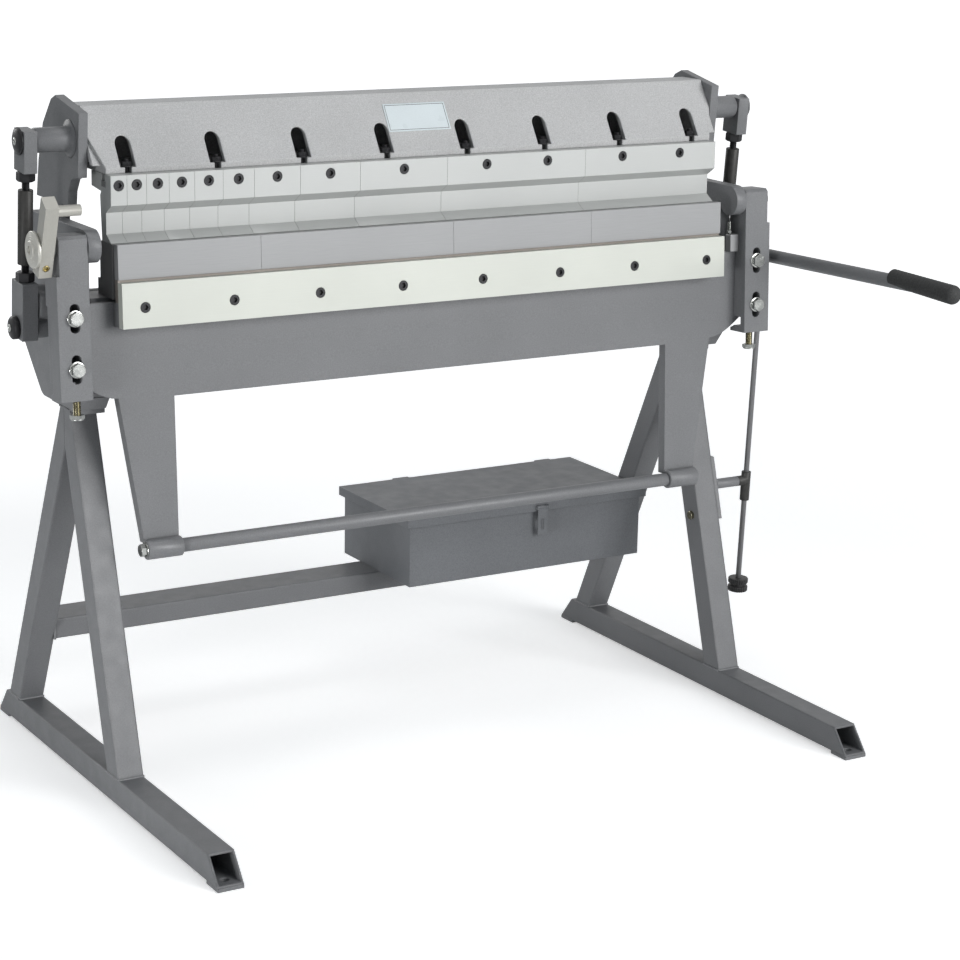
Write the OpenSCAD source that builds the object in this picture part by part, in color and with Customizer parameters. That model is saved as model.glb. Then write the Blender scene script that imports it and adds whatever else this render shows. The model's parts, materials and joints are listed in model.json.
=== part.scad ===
// Box and pan brake on a stand: a hand folding machine for sheet metal.
// The frame has +X to the operator's right, -Y towards the operator and +Z up.
// The origin lies on the floor, at the middle of the four anchor holes.

/* [Stand] */
// Height from the floor to the stand's top plates
stand_h = 577; // [500:1:650]
// Length of a foot bar along the floor
foot_len = 831; // [811:5:900]
// Side of the square tube of the feet and legs
tube_w = 40; // [36:1:42]
// Wall of the square and rectangular tubes
tube_wall = 3; // [2:0.5:4]
// Thickness of the pads under the feet
pad_t = 5; // [3:0.5:8]
// Distance of an anchor hole from the end of its foot
anchor_inset = 21.5; // [19:0.5:25]
// Diameter of an anchor hole
anchor_d = 12; // [9:0.5:14]
// Depth of the cross beam, front to back
cross_beam_d = 70; // [50:1:80]
// Height of the cross beam
cross_beam_h = 32; // [25:1:40]
// Height of the cross beam's top above the floor
cross_beam_top = 190; // [150:5:220]
// Thickness of the top plates
top_plate_t = 8; // [6:1:12]

/* [Toolbox] */
// Length of the toolbox
box_len = 453; // [300:1:455]
// Depth of the toolbox, front to back
box_d = 229; // [180:1:240]
// Height of the toolbox body
box_h = 116; // [80:1:130]
// Sheet thickness of the toolbox
box_wall = 1.5; // [1:0.1:2.5]
// Overhang of the lid round the body
lid_over = 8; // [4:1:8]
// Height of the lid's skirt
lid_h = 15; // [10:1:20]

/* [Bed and frames] */
// Working width of the machine
work_w = 1050; // [1000:10:1200]
// Height of the leaf's pivot axis above the top plates
axis_rise = 248; // [240:1:290]
// Thickness of a side frame
side_t = 19.5; // [16:0.5:22]
// Thickness of the side frame's foot flange
flange_t = 20; // [12:1:24]
// Depth of the bed blade, front to back
bed_d = 45; // [40:1:47]
// Thickness of the bed channel's shelf and foot
shelf_t = 12; // [8:1:16]
// Radius of the leaf's pivot pins
pivot_r = 12; // [10:0.5:14]

/* [Folding leaf] */
// Angle at which the leaf hangs forward at rest
hang_angle = 3; // [2.5:0.1:3.5]
// Thickness of the apron plate
apron_t = 17.5; // [15:0.5:18]
// Height of the apron plate between its legs
apron_h = 144.5; // [120:0.5:150]
// Length of the apron's legs below the plate
leg_drop = 215; // [150:1:250]
// Thickness of the bending bar
bar_t = 15; // [12:0.5:17]
// Height of the bending bar
bar_h = 65; // [55:1:70]
// Height of the edge segments
edge_h = 50; // [45:0.5:52]
// Width of a hinge bracket
bracket_w = 48.5; // [42:0.5:52]
// Height of a hinge bracket below the axis
bracket_drop = 217; // [210:1:225]
// Radius of the tube between the apron's legs
leaf_tube_r = 10.5; // [8:0.5:12]

/* [Fingers and beam] */
// Widths of the fingers from left to right
finger_widths = [25, 30, 35, 40, 45, 50, 75, 100, 150, 250, 250];
// Height of a finger
finger_h = 97; // [94:1:102]
// Wall of the clamping beam
beam_wall = 8; // [6:0.5:10]
// Height of the beam's front face above its lip
beam_face_h = 84; // [76:1:88]
// Thickness of the beam's end plates
beam_end_t = 14.5; // [12:0.5:16]
// Number of the clamping bolts and of the bar screws
bolt_count = 8; // [6:1:8]
// Radius of the beam's trunnions
trunnion_r = 18; // [16:0.5:18]

/* [Clamp linkage] */
// Radius of the clamp shaft
shaft_r = 14; // [12:0.5:16]
// Throw of the clamp cranks
crank_throw = 35; // [30:0.5:36]
// Radius of the crank pins
crank_pin_r = 10; // [8:0.5:11]
// Length of the clamp lever, from the shaft's axis to the end of its grip
lever_len = 558; // [400:1:650]
// Radius of the clamp lever
lever_r = 11; // [9:0.5:12]
// Radius of the grip at its end
grip_r = 15; // [13:0.5:17]

/* [Angle stops] */
// Length of the stop arm from the pivot axis to its tip
arm_len = 82; // [70:1:90]
// Radius of the stop arm's pin
arm_pin_r = 8; // [6:0.5:9]
// Radius of the stop rod
stop_rod_r = 4.5; // [4:0.5:5]
// Radius of the stop rod's knob
knob_r = 17; // [14:0.5:24]

/* [Hidden] */
$fn = 48;

// Clearances, gaps and overruns
run_gap = 0.05;
face_gap = 0.3;
side_gap = 0.5;
segment_gap = 0.2;
hole_gap = 0.5;
cut_over = 2;

// Widths across the machine, all from the working width
side_offset = 27;
leg_under = 31;
half_w = work_w / 2;
side_in = half_w + side_offset;
side_out = side_in + side_t;
bracket_in = side_out + side_gap;
bracket_out = bracket_in + bracket_w;
leg_x0 = side_in - leg_under;
leg_x1 = leg_x0 + tube_w;
leg_cx = (leg_x0 + leg_x1) / 2;

// Heights, all from the stand's height
foot_top = pad_t + tube_w;
leg_top = stand_h - top_plate_t;
axis_z = stand_h + axis_rise;
bed_drop = 1;
bed_top = axis_z - bed_drop;
side_top_r = 24;
side_skin = 4;
side_corner_y = 200;
side_front_rise = 26;
side_rear_rise = 73;
side_foot_r = 25;
side_foot_steps = 5;
side_rear_drop = 35;

// Places of the two legs along a foot bar, at its top and at the top plates
front_leg_foot_share = 0.0885;
front_leg_foot_y = -front_leg_foot_share * foot_len;
front_leg_top_y = 84.7;
foot_slant = 33;
rear_leg_inset = 13;
rear_leg_foot_y = foot_len / 2 - foot_slant - rear_leg_inset;
rear_leg_top_y = 124.6;
leg_rise = leg_top - foot_top;
front_run = (front_leg_top_y - front_leg_foot_y) / leg_rise;
rear_run = (rear_leg_foot_y - rear_leg_top_y) / leg_rise;
front_wy = tube_w * sqrt(1 + front_run * front_run);
rear_wy = tube_w * sqrt(1 + rear_run * rear_run);
legs_meet_t = (rear_leg_foot_y - rear_wy - front_leg_foot_y - front_wy) / (front_run + rear_run);
legs_meet_y = front_leg_foot_y + front_wy + front_run * legs_meet_t;
pad_len = 38;
anchor_pitch = foot_len - 2 * anchor_inset;

// Foot flange of the side frames and the bolts through it
flange_y0 = 45;
flange_y1 = 157;
plate_y0 = 50;
stand_bolt_r = 5;
stand_bolt_front_y = 92;
stand_bolt_rear_y = 142;
stand_bolt_af = 16;
stand_head_t = 6.5;

// Toolbox
box_gap = 2;
box_x1 = leg_x0 - lid_over - box_gap;
box_x0 = box_x1 - box_len;
box_y1 = 393;
box_y0 = box_y1 - box_d;
box_z0 = cross_beam_top;
box_z1 = box_z0 + box_h;
lid_gap = 0.5;
lid_z0 = box_z1 + lid_gap - lid_h + box_wall;
lid_z1 = box_z1 + lid_gap + box_wall;
hinge_pin_r = 3;
hinge_knuckle_r = 5;
hinge_y = box_y1 + lid_over + hinge_knuckle_r;
hinge_z = box_z1 - hinge_knuckle_r;
knuckle_shares = [0.14, 0.78];
knuckle_len = 36;
lid_knuckle_len = 30;
hasp_share = 0.53;
hasp_x = box_x0 + hasp_share * box_len;
hasp_w = 18;
hasp_len = 48;
hasp_t = 2;
hasp_pin_r = 1.5;
hasp_knuckle_r = 3;
hasp_ear_w = 3;
hasp_slot_w = 6;
hasp_slot_len = 18;
hasp_z = lid_z0 + lid_h / 2;
hasp_y = box_y0 - lid_over - hasp_knuckle_r - face_gap;
cross_beam_y0 = 268;

// Bed, its channel and the clamp mechanism's places
bed_y0 = 1;
bed_step = 24;
bed_step_d = 9;
bed_h = 79;
bed_screw_r = 5;
bed_screw_y = 45;
bed_screw_depth = 20;
bed_screw_head = 10;
bed_screw_head_r = 8;
channel_top = bed_top - bed_h;
channel_h = 145;
channel_y0 = 22;
channel_y1 = 76;
channel_web_t = 12;
frame_front_y = 24.5;
frame_rear_y = 240;
shaft_y = 101;
shaft_drop = 95;
shaft_z = axis_z - shaft_drop;
crank_pin_dy = 3;
crank_pin_y = shaft_y + crank_pin_dy;
crank_pin_z = shaft_z - sqrt(crank_throw * crank_throw - crank_pin_dy * crank_pin_dy);
crank_wall = 12;
crank_pin_wall = 8;
beam_pivot_y = 175;
beam_pivot_drop = 25;
beam_pivot_z = axis_z - beam_pivot_drop;
beam_pivot_r = 10;

// Fingers: profile, slot for the clamping rail and screws
finger_z0 = bed_top + face_gap;
finger_z1 = finger_z0 + finger_h;
finger_nose_y = 6.5;
finger_face_y = 24;
finger_front_y = 5.5;
finger_back_y = 76;
holder_h = 43;
holder_slope_h = 12;
blade_toe_h = 11;
finger_block_h = 22;
block_slope_h = 4;
heel_drop = 10;
heel_back = 1;
sole_back = 6;
rail_y0 = 23.5;
rail_y1 = 39.5;
rail_depth = 19;
rail_h = 9;
rail_wall = 1.5;
rail_z0 = finger_z1 - rail_depth;
rail_z1 = rail_z0 + rail_h;
throat_w = 9;
rail_cy = (rail_y0 + rail_y1) / 2;
finger_screw_r = 4;
finger_screw_head_r = 7.5;
finger_screw_head = 8;
finger_screw_z = (rail_z0 + rail_z1) / 2;
two_screw_w = 220;
screw_pair_share = 0.22;
narrow_count = 6;
medium_count = 3;

// Clamping beam
lip_y0 = 23;
lip_t = 8;
lip_z0 = finger_z1 + face_gap;
lip_z1 = lip_z0 + lip_t;
face_run = 0.634;
beam_top = lip_z1 + beam_face_h;
beam_face_top_y = lip_y0 + face_run * beam_face_h;
beam_rear_y = 125;
beam_rear_drop = 78;
beam_web_t = 8;
beam_face_wy = beam_wall * sqrt(1 + face_run * face_run);
beam_end_offset = 16;
beam_end_in = half_w + beam_end_offset;
beam_end_out = beam_end_in + beam_end_t;
arm_bolt_skin = 4;
lip_half = half_w - segment_gap;
cheek_rise = 3;
cheek_top = lip_z1 + beam_face_h / 2;
cheek_low = lip_z1 + cheek_rise;
cheek_back = 7;
cheek_t = 10;
slot_w = 24;
slot_h = 42;
slot_top = lip_z1 + slot_h;
slit_w = 10;
rail_bolt_r = 4;
rail_bolt_tail = 5;
rail_nut_af = 13;
rail_nut_t = 7;
trunnion_y = 82;
trunnion_rise = 37;
trunnion_z = lip_z1 + trunnion_rise;
trunnion_root = 12;
trunnion_root_lip = 10;
trunnion_cap_r = 20;
trunnion_cap_top_r = 10;
cap_disc_t = 3;
cap_dome_h = 5;
journal_r = 9;
head_bore_r = 13.2;
arm_plate_t = 12;
arm_eye_wall = 15;
arm_plate_trim = 8;
arm_plate_over = 15;
arm_bolt_r = 5;
arm_bolt_rises = [62, 102];
arm_bolt_z = [for (rise = arm_bolt_rises) axis_z + rise];
pivot_tail = 4;

// Outline of the beam's end plates, in shares of their depth and height
end_front = 21.5;
end_d = 169.5;
end_low = 43;
end_top = 10;
end_z0 = axis_z + end_low;
end_h = beam_top + end_top - end_z0;
end_shares = [
    [0, 0.89], [0.52, 1], [0.62, 0.955], [0.82, 0.71], [0.94, 0.345], [1, 0],
    [0.28, 0], [0.26, 0.14], [0.19, 0.26], [0.11, 0.287], [0.044, 0.293]
];

// Links between the cranks and the beam
link_x = bracket_out;
head_w = 20;
foot_w = 24;
link_dy = trunnion_y - crank_pin_y;
link_dz = trunnion_z - crank_pin_z;
link_len = sqrt(link_dy * link_dy + link_dz * link_dz);
link_tilt = atan2(link_dy, link_dz);
link_rod_r = 6;
turnbuckle_r = 11;
turnbuckle_len = 109;
crank_web_t = 18;
crank_gap = 2;
web_x1 = link_x - foot_w / 2 - crank_gap;
web_x0 = web_x1 - crank_web_t;
cap_t = 7;
cap_lip = 7;
hub_wall = 4;
hub_skin = 2;
hub_x0 = link_x + foot_w / 2 + crank_gap;
lever_x = hub_x0 + hub_wall + lever_r;
hub_x1 = lever_x + lever_r + hub_skin;
lever_rise = 1.7;
lever_drop = 7;
grip_len = 151;
grip_end_t = 6;
grip_taper = 1.5;
lever_socket = 40;
head_half = 19.5;
head_above = 16;
head_below = 44;
head_rod_gap = 24;
foot_half = 22;
foot_above = 68;
foot_below = 16;
foot_rod_z = 40;
link_nut_t = 14;
link_nut_af = 24;
nut_gap = 11;
turnbuckle_thread = 25;
turnbuckle_z0 = foot_above + link_nut_t + nut_gap;
turnbuckle_z1 = turnbuckle_z0 + turnbuckle_len;

// Folding leaf, in its own frame: the pivot axis is the origin and it hangs along -Z
leaf_gap_y = 1;
edge_t = 14.6;
edge_shares = [9, 13, 10, 10];
tongue_t = 11;
tongue_len = 34;
bar_drop = 4;
bar_top = -edge_h - bar_drop;
bar_bottom = bar_top - bar_h;
bar_y1 = -leaf_gap_y - tongue_t;
bar_y0 = bar_y1 - bar_t;
plate_y = 7.5;
plate_top = -83.5;
plate_bottom = plate_top - apron_h;
plate_short = 2.5;
plate_half = bracket_out - plate_short;
apron_leg_inset = 90.5;
apron_leg_top_inset = 3;
apron_leg_foot_inset = 36;
leg_in = half_w - apron_leg_inset;
leg_out_top = half_w - apron_leg_top_inset;
leg_out_bottom = half_w - apron_leg_foot_inset;
leg_bottom = plate_bottom - leg_drop;
ear_out = 58;
ear_rise = 34;
ear_low = 4;
ear_steps = 6;
boss_y = 2;
boss_r = 15;
boss_drop = 8;
boss_z = leg_bottom - boss_drop;
boss_inset = 35;
boss_x1 = half_w - boss_inset;
tube_seat = 30;
bracket_y0 = -21;
bracket_top = 18;
bracket_chamfer = 5;
bracket_shoulder_z = -38;
bracket_shoulder_w = 5;
ledge_y = 18;
ledge_t = 10;
notch_y = -10;
notch_h = 15;
notch_wall = 8;
bracket_bolt_in = 23;
bracket_bolt_x = bracket_in + bracket_bolt_in;
bracket_slot_w = 15;
bracket_slot_len = 42;
bracket_slot_shares = [0.454, 0.79];
bracket_slot_z = [for (share = bracket_slot_shares) -share * bracket_drop];
bracket_bolt_r = 6;
adjust_in = 20;
adjust_x = bracket_in + adjust_in;
adjust_r = 6;
adjust_y = -7;
adjust_depth = 18;
adjust_out = 21;
adjust_head_t = 8;
bar_screw_r = 5;
bar_screw_head_r = 7.5;
bar_screw_head = 8;
bar_screw_rise = 29;
bar_screw_z = bar_bottom + bar_screw_rise;
bolt_head_t = 7;
bolt_af = 19;
small_bolt_af = 17;
washer_t = 2.5;
washer_r = 12;

// Stop arm on the left pivot pin, and stop rod on the right
arm_gap = 1.5;
arm_x0 = bracket_out + arm_gap;
arm_t = 20;
arm_w = 22;
arm_angle = 19;
arm_tail = 34;
arm_slant = 8;
arm_hub_wall = 7;
arm_pin_len = 34;
arm_pin_drop = 16;
arm_screw_r = 4;
arm_screw_rise = 15;
arm_screw_depth = 12;
pin_tail = 3;
disc_r = 26.5;
disc_step = 6;
disc_base_t = 4;
disc_mid_t = 3;
disc_top_t = 2;
disc_seat = 3;
disc_floor = 2;
disc_x0 = arm_x0 + arm_t;
disc_x1 = disc_x0 + disc_seat;
disc_x2 = disc_x0 + disc_base_t;
disc_x3 = disc_x2 + disc_mid_t;
disc_x4 = disc_x3 + disc_top_t;
guide_plate_t = 7;
guide_y = 24;
guide_z = 340;
guide_plate_len = 100;
guide_plate_share = 0.54;
guide_plate_z = guide_z - guide_plate_share * guide_plate_len;
guide_r = 8.5;
guide_pin_r = 5;
guide_pin_gap = 2.5;
guide_boss_gap = 19;
stop_bolt_r = 4;
stop_bolt_af = 13;
stop_bolt_tail = 1.5;
stop_head_t = 5.5;
stop_nut_t = 6.5;
stop_bolt_shares = [0.06, 0.88];
stop_bolt_z = [for (share = stop_bolt_shares) guide_plate_z + share * guide_plate_len];
stop_out = 11.5;
stop_x = bracket_out + stop_out;
sleeve_r = 8;
sleeve_len = 50;
sleeve_below = 35;
eye_y_leaf = 10;
eye_z_leaf = -80;
eye_y = eye_y_leaf * cos(hang_angle) + eye_z_leaf * sin(hang_angle);
eye_z = axis_z - eye_y_leaf * sin(hang_angle) + eye_z_leaf * cos(hang_angle);
eye_r = 9;
eye_skin = 1;
rod_tilt = atan2(eye_y - guide_y, eye_z - guide_z);
rod_up = sqrt((eye_y - guide_y) * (eye_y - guide_y) + (eye_z - guide_z) * (eye_z - guide_z));
rod_down = 198;
knob_h = 23;
knob_rim_h = 9;
knob_neck_h = 5;
knob_neck_in = 4;

// A YZ outline carried along X from x0 to x1
module slab(x0, x1) {
    translate([x0, 0, 0]) rotate([90, 0, 90]) linear_extrude(x1 - x0) children();
}

// Round bars along X, Y and Z between two ends
module bar_x(x0, x1, r) {
    translate([x0, 0, 0]) rotate([0, 90, 0]) cylinder(h = x1 - x0, r = r);
}
module bar_y(y0, y1, r) {
    translate([0, y0, 0]) rotate([-90, 0, 0]) cylinder(h = y1 - y0, r = r);
}
module bar_z(z0, z1, r) {
    translate([0, 0, z0]) cylinder(h = z1 - z0, r = r);
}

// A box between two corners
module block(low, high) {
    translate(low) cube(high - low);
}

// A hexagon prism along Z, by its width across the flats
module hex_z(z0, z1, af) {
    translate([0, 0, z0]) linear_extrude(z1 - z0)
        polygon([for (i = [0:5]) af / 2 / cos(30) * [cos(60 * i), sin(60 * i)]]);
}
module hex_y(y0, y1, af) {
    rotate([-90, 0, 0]) hex_z(y0, y1, af);
}
module hex_x(x0, x1, af) {
    rotate([0, 90, 0]) hex_z(x0, x1, af);
}

// A piece and its twin on the other side of the machine
module both() {
    children();
    mirror([1, 0, 0]) children();
}

// The leaf's own frame, hung forward at rest
module hang() {
    translate([0, 0, axis_z]) rotate([-hang_angle, 0, 0]) children();
}

// The frame of a link: Z runs from the crank pin up to the trunnion
module on_link() {
    translate([0, crank_pin_y, crank_pin_z]) rotate([-link_tilt, 0, 0]) children();
}

// The frame of the stop rod: Z runs from the sleeve up to the eye
module on_rod() {
    translate([stop_x, guide_y, guide_z]) rotate([-rod_tilt, 0, 0]) children();
}

// Places of the clamping bolts and the bar screws along X, the last ones a quarter pitch from the ends
bolt_pitch = work_w / (bolt_count - 1 / 2);
bolt_places = [for (i = [0:bolt_count - 1]) (i - (bolt_count - 1) / 2) * bolt_pitch];

// Running total of the first n entries of a list of widths
function sum_to(list, n) = n <= 0 ? 0 : list[n - 1] + sum_to(list, n - 1);

// Place along X of the joint after the first n pieces of a list that fills the working width
function place_of(list, n) = (sum_to(list, n) / sum_to(list, len(list)) - 1 / 2) * work_w;

// Feet and legs of the stand
module foot_outline(inset) {
    run = foot_slant / tube_w;
    low = pad_t + inset;
    high = foot_top - inset;
    polygon([
        [-foot_len / 2 + run * inset, low], [foot_len / 2 - run * inset, low],
        [foot_len / 2 - run * (tube_w - inset), high], [-foot_len / 2 + run * (tube_w - inset), high]
    ]);
}
module foot_bars() {
    color([0.42, 0.43, 0.44]) both() difference() {
        slab(leg_x0, leg_x1) foot_outline(0);
        slab(leg_x0 + tube_wall, leg_x1 - tube_wall) hollow_foot();
        for (s = [-1, 1]) translate([leg_cx, s * anchor_pitch / 2, 0])
            bar_z(pad_t - cut_over, pad_t + tube_wall + cut_over, anchor_d / 2);
    }
}
module hollow_foot() {
    far = foot_len / 2 + tube_w;
    polygon([
        [-far, pad_t + tube_wall], [far, pad_t + tube_wall],
        [far, foot_top - tube_wall], [-far, foot_top - tube_wall]
    ]);
}
module foot_pads() {
    color([0.36, 0.37, 0.38]) both() for (s = [-1, 1]) {
        y1 = s * foot_len / 2;
        y0 = s * (foot_len / 2 - pad_len);
        difference() {
            block([leg_x0, min(y0, y1), 0], [leg_x1, max(y0, y1), pad_t]);
            translate([leg_cx, s * anchor_pitch / 2, 0]) bar_z(-cut_over, pad_t + cut_over, anchor_d / 2);
        }
    }
}
module front_leg_outline(inset) {
    wall = inset * front_wy / tube_w;
    intersection() {
        polygon([
            [front_leg_foot_y + wall, foot_top], [front_leg_foot_y + front_wy - wall, foot_top],
            [front_leg_top_y + front_wy - wall, leg_top], [front_leg_top_y + wall, leg_top]
        ]);
        translate([front_leg_foot_y, foot_top]) square([legs_meet_y - front_leg_foot_y, leg_rise]);
    }
}
module rear_leg_outline(inset) {
    wall = inset * rear_wy / tube_w;
    intersection() {
        polygon([
            [rear_leg_foot_y - rear_wy + wall, foot_top], [rear_leg_foot_y - wall, foot_top],
            [rear_leg_top_y - wall, leg_top], [rear_leg_top_y - rear_wy + wall, leg_top]
        ]);
        translate([legs_meet_y, foot_top]) square([rear_leg_foot_y - legs_meet_y, leg_rise]);
    }
}
module front_leg() {
    color([0.44, 0.45, 0.46]) difference() {
        slab(leg_x0, leg_x1) front_leg_outline(0);
        slab(leg_x0 + tube_wall, leg_x1 - tube_wall) front_leg_outline(tube_wall);
    }
}
module front_legs() {
    mirror([1, 0, 0]) front_leg();
    difference() {
        front_leg();
        for (z = stop_bolt_z) translate([0, leg_mid_y(z), z])
            bar_x(leg_x0 - cut_over, leg_x1 + cut_over, stop_bolt_r);
    }
}
module rear_legs() {
    color([0.44, 0.45, 0.46]) both() difference() {
        slab(leg_x0, leg_x1) rear_leg_outline(0);
        slab(leg_x0 + tube_wall, leg_x1 - tube_wall) rear_leg_outline(tube_wall);
    }
}
module stand_top_plates() {
    color([0.42, 0.43, 0.44]) both() difference() {
        block([leg_x0, plate_y0, leg_top], [leg_x1, flange_y1, stand_h]);
        stand_bolt_holes(leg_top, stand_h, stand_bolt_r);
    }
}
module stand_bolt_holes(z0, z1, r) {
    for (y = [stand_bolt_front_y, stand_bolt_rear_y]) translate([leg_cx, y, 0])
        bar_z(z0 - cut_over, z1 + cut_over, r);
}
module stand_bolts() {
    color([0.78, 0.79, 0.78]) both() for (y = [stand_bolt_front_y, stand_bolt_rear_y])
        translate([leg_cx, y, 0]) {
            flange_top = stand_h + flange_t;
            bar_z(leg_top, flange_top + stand_head_t / 2, stand_bolt_r);
            hex_z(flange_top, flange_top + stand_head_t, stand_bolt_af);
        }
}
module cross_beam() {
    color([0.42, 0.43, 0.44]) difference() {
        block([-leg_x0, cross_beam_y0, cross_beam_top - cross_beam_h],
              [leg_x0, cross_beam_y0 + cross_beam_d, cross_beam_top]);
        block([-leg_x0 - cut_over, cross_beam_y0 + tube_wall, cross_beam_top - cross_beam_h + tube_wall],
              [leg_x0 + cut_over, cross_beam_y0 + cross_beam_d - tube_wall, cross_beam_top - tube_wall]);
    }
}

// Toolbox on the cross beam
module toolbox_body() {
    color([0.45, 0.46, 0.47]) {
        difference() {
            block([box_x0, box_y0, box_z0], [box_x1, box_y1, box_z1]);
            block([box_x0 + box_wall, box_y0 + box_wall, box_z0 + box_wall],
                  [box_x1 - box_wall, box_y1 - box_wall, box_z1 + cut_over]);
        }
        for (s = knuckle_shares) translate([box_x0 + s * box_len, hinge_y, hinge_z]) difference() {
            union() {
                bar_x(0, knuckle_len, hinge_knuckle_r);
                block([0, box_y1 - hinge_y, -hinge_knuckle_r],
                      [knuckle_len, 0, box_wall - hinge_knuckle_r]);
            }
            bar_x(-cut_over, knuckle_len + cut_over, hinge_pin_r);
        }
    }
}
module toolbox_hinge_pins() {
    color([0.75, 0.76, 0.76]) for (s = knuckle_shares)
        translate([box_x0 + s * box_len, hinge_y, hinge_z])
            bar_x(0, knuckle_len + lid_knuckle_len + 2 * segment_gap, hinge_pin_r);
}
module toolbox_lid() {
    x0 = box_x0 - lid_over;
    x1 = box_x1 + lid_over;
    y0 = box_y0 - lid_over;
    y1 = box_y1 + lid_over - box_wall;
    color([0.47, 0.48, 0.49]) {
        difference() {
            block([x0, y0, lid_z0], [x1, y1, lid_z1]);
            block([x0 + box_wall, y0 + box_wall, lid_z0 - cut_over],
                  [x1 - box_wall, y1 + cut_over, lid_z1 - box_wall]);
        }
        for (s = knuckle_shares)
            translate([box_x0 + s * box_len + knuckle_len + segment_gap, hinge_y, hinge_z]) difference() {
                union() {
                    bar_x(0, lid_knuckle_len, hinge_knuckle_r);
                    block([0, -box_wall, 0], [lid_knuckle_len, 0, lid_z1 - hinge_z]);
                    block([0, y1 - hinge_y - box_wall, lid_z1 - hinge_z - box_wall],
                          [lid_knuckle_len, 0, lid_z1 - hinge_z]);
                }
                bar_x(-cut_over, lid_knuckle_len + cut_over, hinge_pin_r + run_gap);
            }
        translate([hasp_x, hasp_y, hasp_z]) {
            bar_x(-hasp_ear_w - segment_gap, hasp_w + hasp_ear_w + segment_gap, hasp_pin_r);
            for (x = [-hasp_ear_w - segment_gap, hasp_w + segment_gap])
                block([x, -hasp_knuckle_r, -hasp_knuckle_r], [x + hasp_ear_w, y0 - hasp_y, hasp_knuckle_r]);
        }
    }
}
module toolbox_hasp() {
    slot_z = hasp_slot_len - hasp_len;
    color([0.55, 0.56, 0.57]) translate([hasp_x, hasp_y, hasp_z]) difference() {
        union() {
            bar_x(0, hasp_w, hasp_knuckle_r);
            block([0, -hasp_t / 2, -hasp_len], [hasp_w, hasp_t / 2, 0]);
        }
        bar_x(-cut_over, hasp_w + cut_over, hasp_pin_r + run_gap);
        block([hasp_w / 2 - hasp_slot_w / 2, -hasp_t, slot_z - hasp_slot_len / 2],
              [hasp_w / 2 + hasp_slot_w / 2, hasp_t, slot_z + hasp_slot_len / 2]);
    }
}

// Side frames, bed channel and bed blade
module side_outline() {
    heel = [for (i = [0:side_foot_steps]) let (turn = 45 * i / side_foot_steps)
        [flange_y1 + side_foot_r * sin(turn), stand_h + side_foot_r * (1 - cos(turn))]];
    polygon(concat(
        [[frame_front_y, stand_h + side_front_rise], [flange_y0, stand_h]], heel,
        [[frame_rear_y, stand_h + side_rear_rise], [frame_rear_y, axis_z - side_rear_drop],
         [side_corner_y, axis_z + side_top_r], [0, axis_z + side_top_r], [0, axis_z],
         [frame_front_y, axis_z]]));
    translate([0, axis_z]) circle(r = side_top_r);
}
module flange_outline() {
    rise = flange_t / side_front_rise;
    polygon([
        [flange_y0, stand_h], [flange_y1, stand_h], [flange_y1, stand_h + flange_t],
        [flange_y0 + rise * (frame_front_y - flange_y0), stand_h + flange_t]
    ]);
}
module side_frame() {
    color([0.43, 0.44, 0.46]) difference() {
        union() {
            slab(side_in, side_out) side_outline();
            slab(leg_x0, side_out) flange_outline();
        }
        translate([0, 0, axis_z]) bar_x(side_in + side_skin, side_out + cut_over, pivot_r);
        translate([0, shaft_y, shaft_z]) bar_x(side_in - cut_over, side_out + cut_over, shaft_r + run_gap);
        translate([0, beam_pivot_y, beam_pivot_z])
            bar_x(side_in - cut_over, side_out + cut_over, beam_pivot_r + run_gap);
        stand_bolt_holes(stand_h, stand_h + flange_t, stand_bolt_r + hole_gap);
    }
}
module left_side_frame() {
    mirror([1, 0, 0]) side_frame();
}
module right_side_frame() {
    side_frame();
}
module bed_channel() {
    bottom = channel_top - channel_h;
    color([0.40, 0.41, 0.43]) difference() {
        slab(-side_in, side_in) polygon([
            [channel_y0, bottom], [channel_y1, bottom], [channel_y1, bottom + shelf_t],
            [channel_y0 + channel_web_t, bottom + shelf_t],
            [channel_y0 + channel_web_t, channel_top - shelf_t],
            [channel_y1, channel_top - shelf_t], [channel_y1, channel_top], [channel_y0, channel_top]
        ]);
        bed_screw_holes(channel_top - shelf_t, channel_top, bed_screw_r + hole_gap);
    }
}
module bed_screw_holes(z0, z1, r) {
    for (x = bolt_places) translate([x, bed_screw_y, 0]) bar_z(z0 - cut_over, z1 + cut_over, r);
}
module bed_blade() {
    color([0.80, 0.81, 0.80]) difference() {
        slab(-half_w - bed_y0, half_w + bed_y0) polygon([
            [bed_y0, channel_top], [bed_y0 + bed_d + bed_step_d, channel_top],
            [bed_y0 + bed_d + bed_step_d, channel_top + bed_step],
            [bed_y0 + bed_d, channel_top + bed_step], [bed_y0 + bed_d, bed_top], [bed_y0, bed_top]
        ]);
        bed_screw_holes(channel_top, channel_top + bed_screw_depth - cut_over, bed_screw_r);
    }
}
module bed_screws() {
    color([0.15, 0.15, 0.16]) for (x = bolt_places) translate([x, bed_screw_y, 0]) {
        bar_z(channel_top - shelf_t, channel_top + bed_screw_depth, bed_screw_r);
        bar_z(channel_top - shelf_t - bed_screw_head, channel_top - shelf_t, bed_screw_head_r);
    }
}
module leaf_pivot_pins() {
    color([0.70, 0.71, 0.71]) translate([0, 0, axis_z]) {
        bar_x(side_in + side_skin, bracket_out + pin_tail, pivot_r);
        bar_x(-disc_x1, -side_in - side_skin, pivot_r);
    }
}

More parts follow.
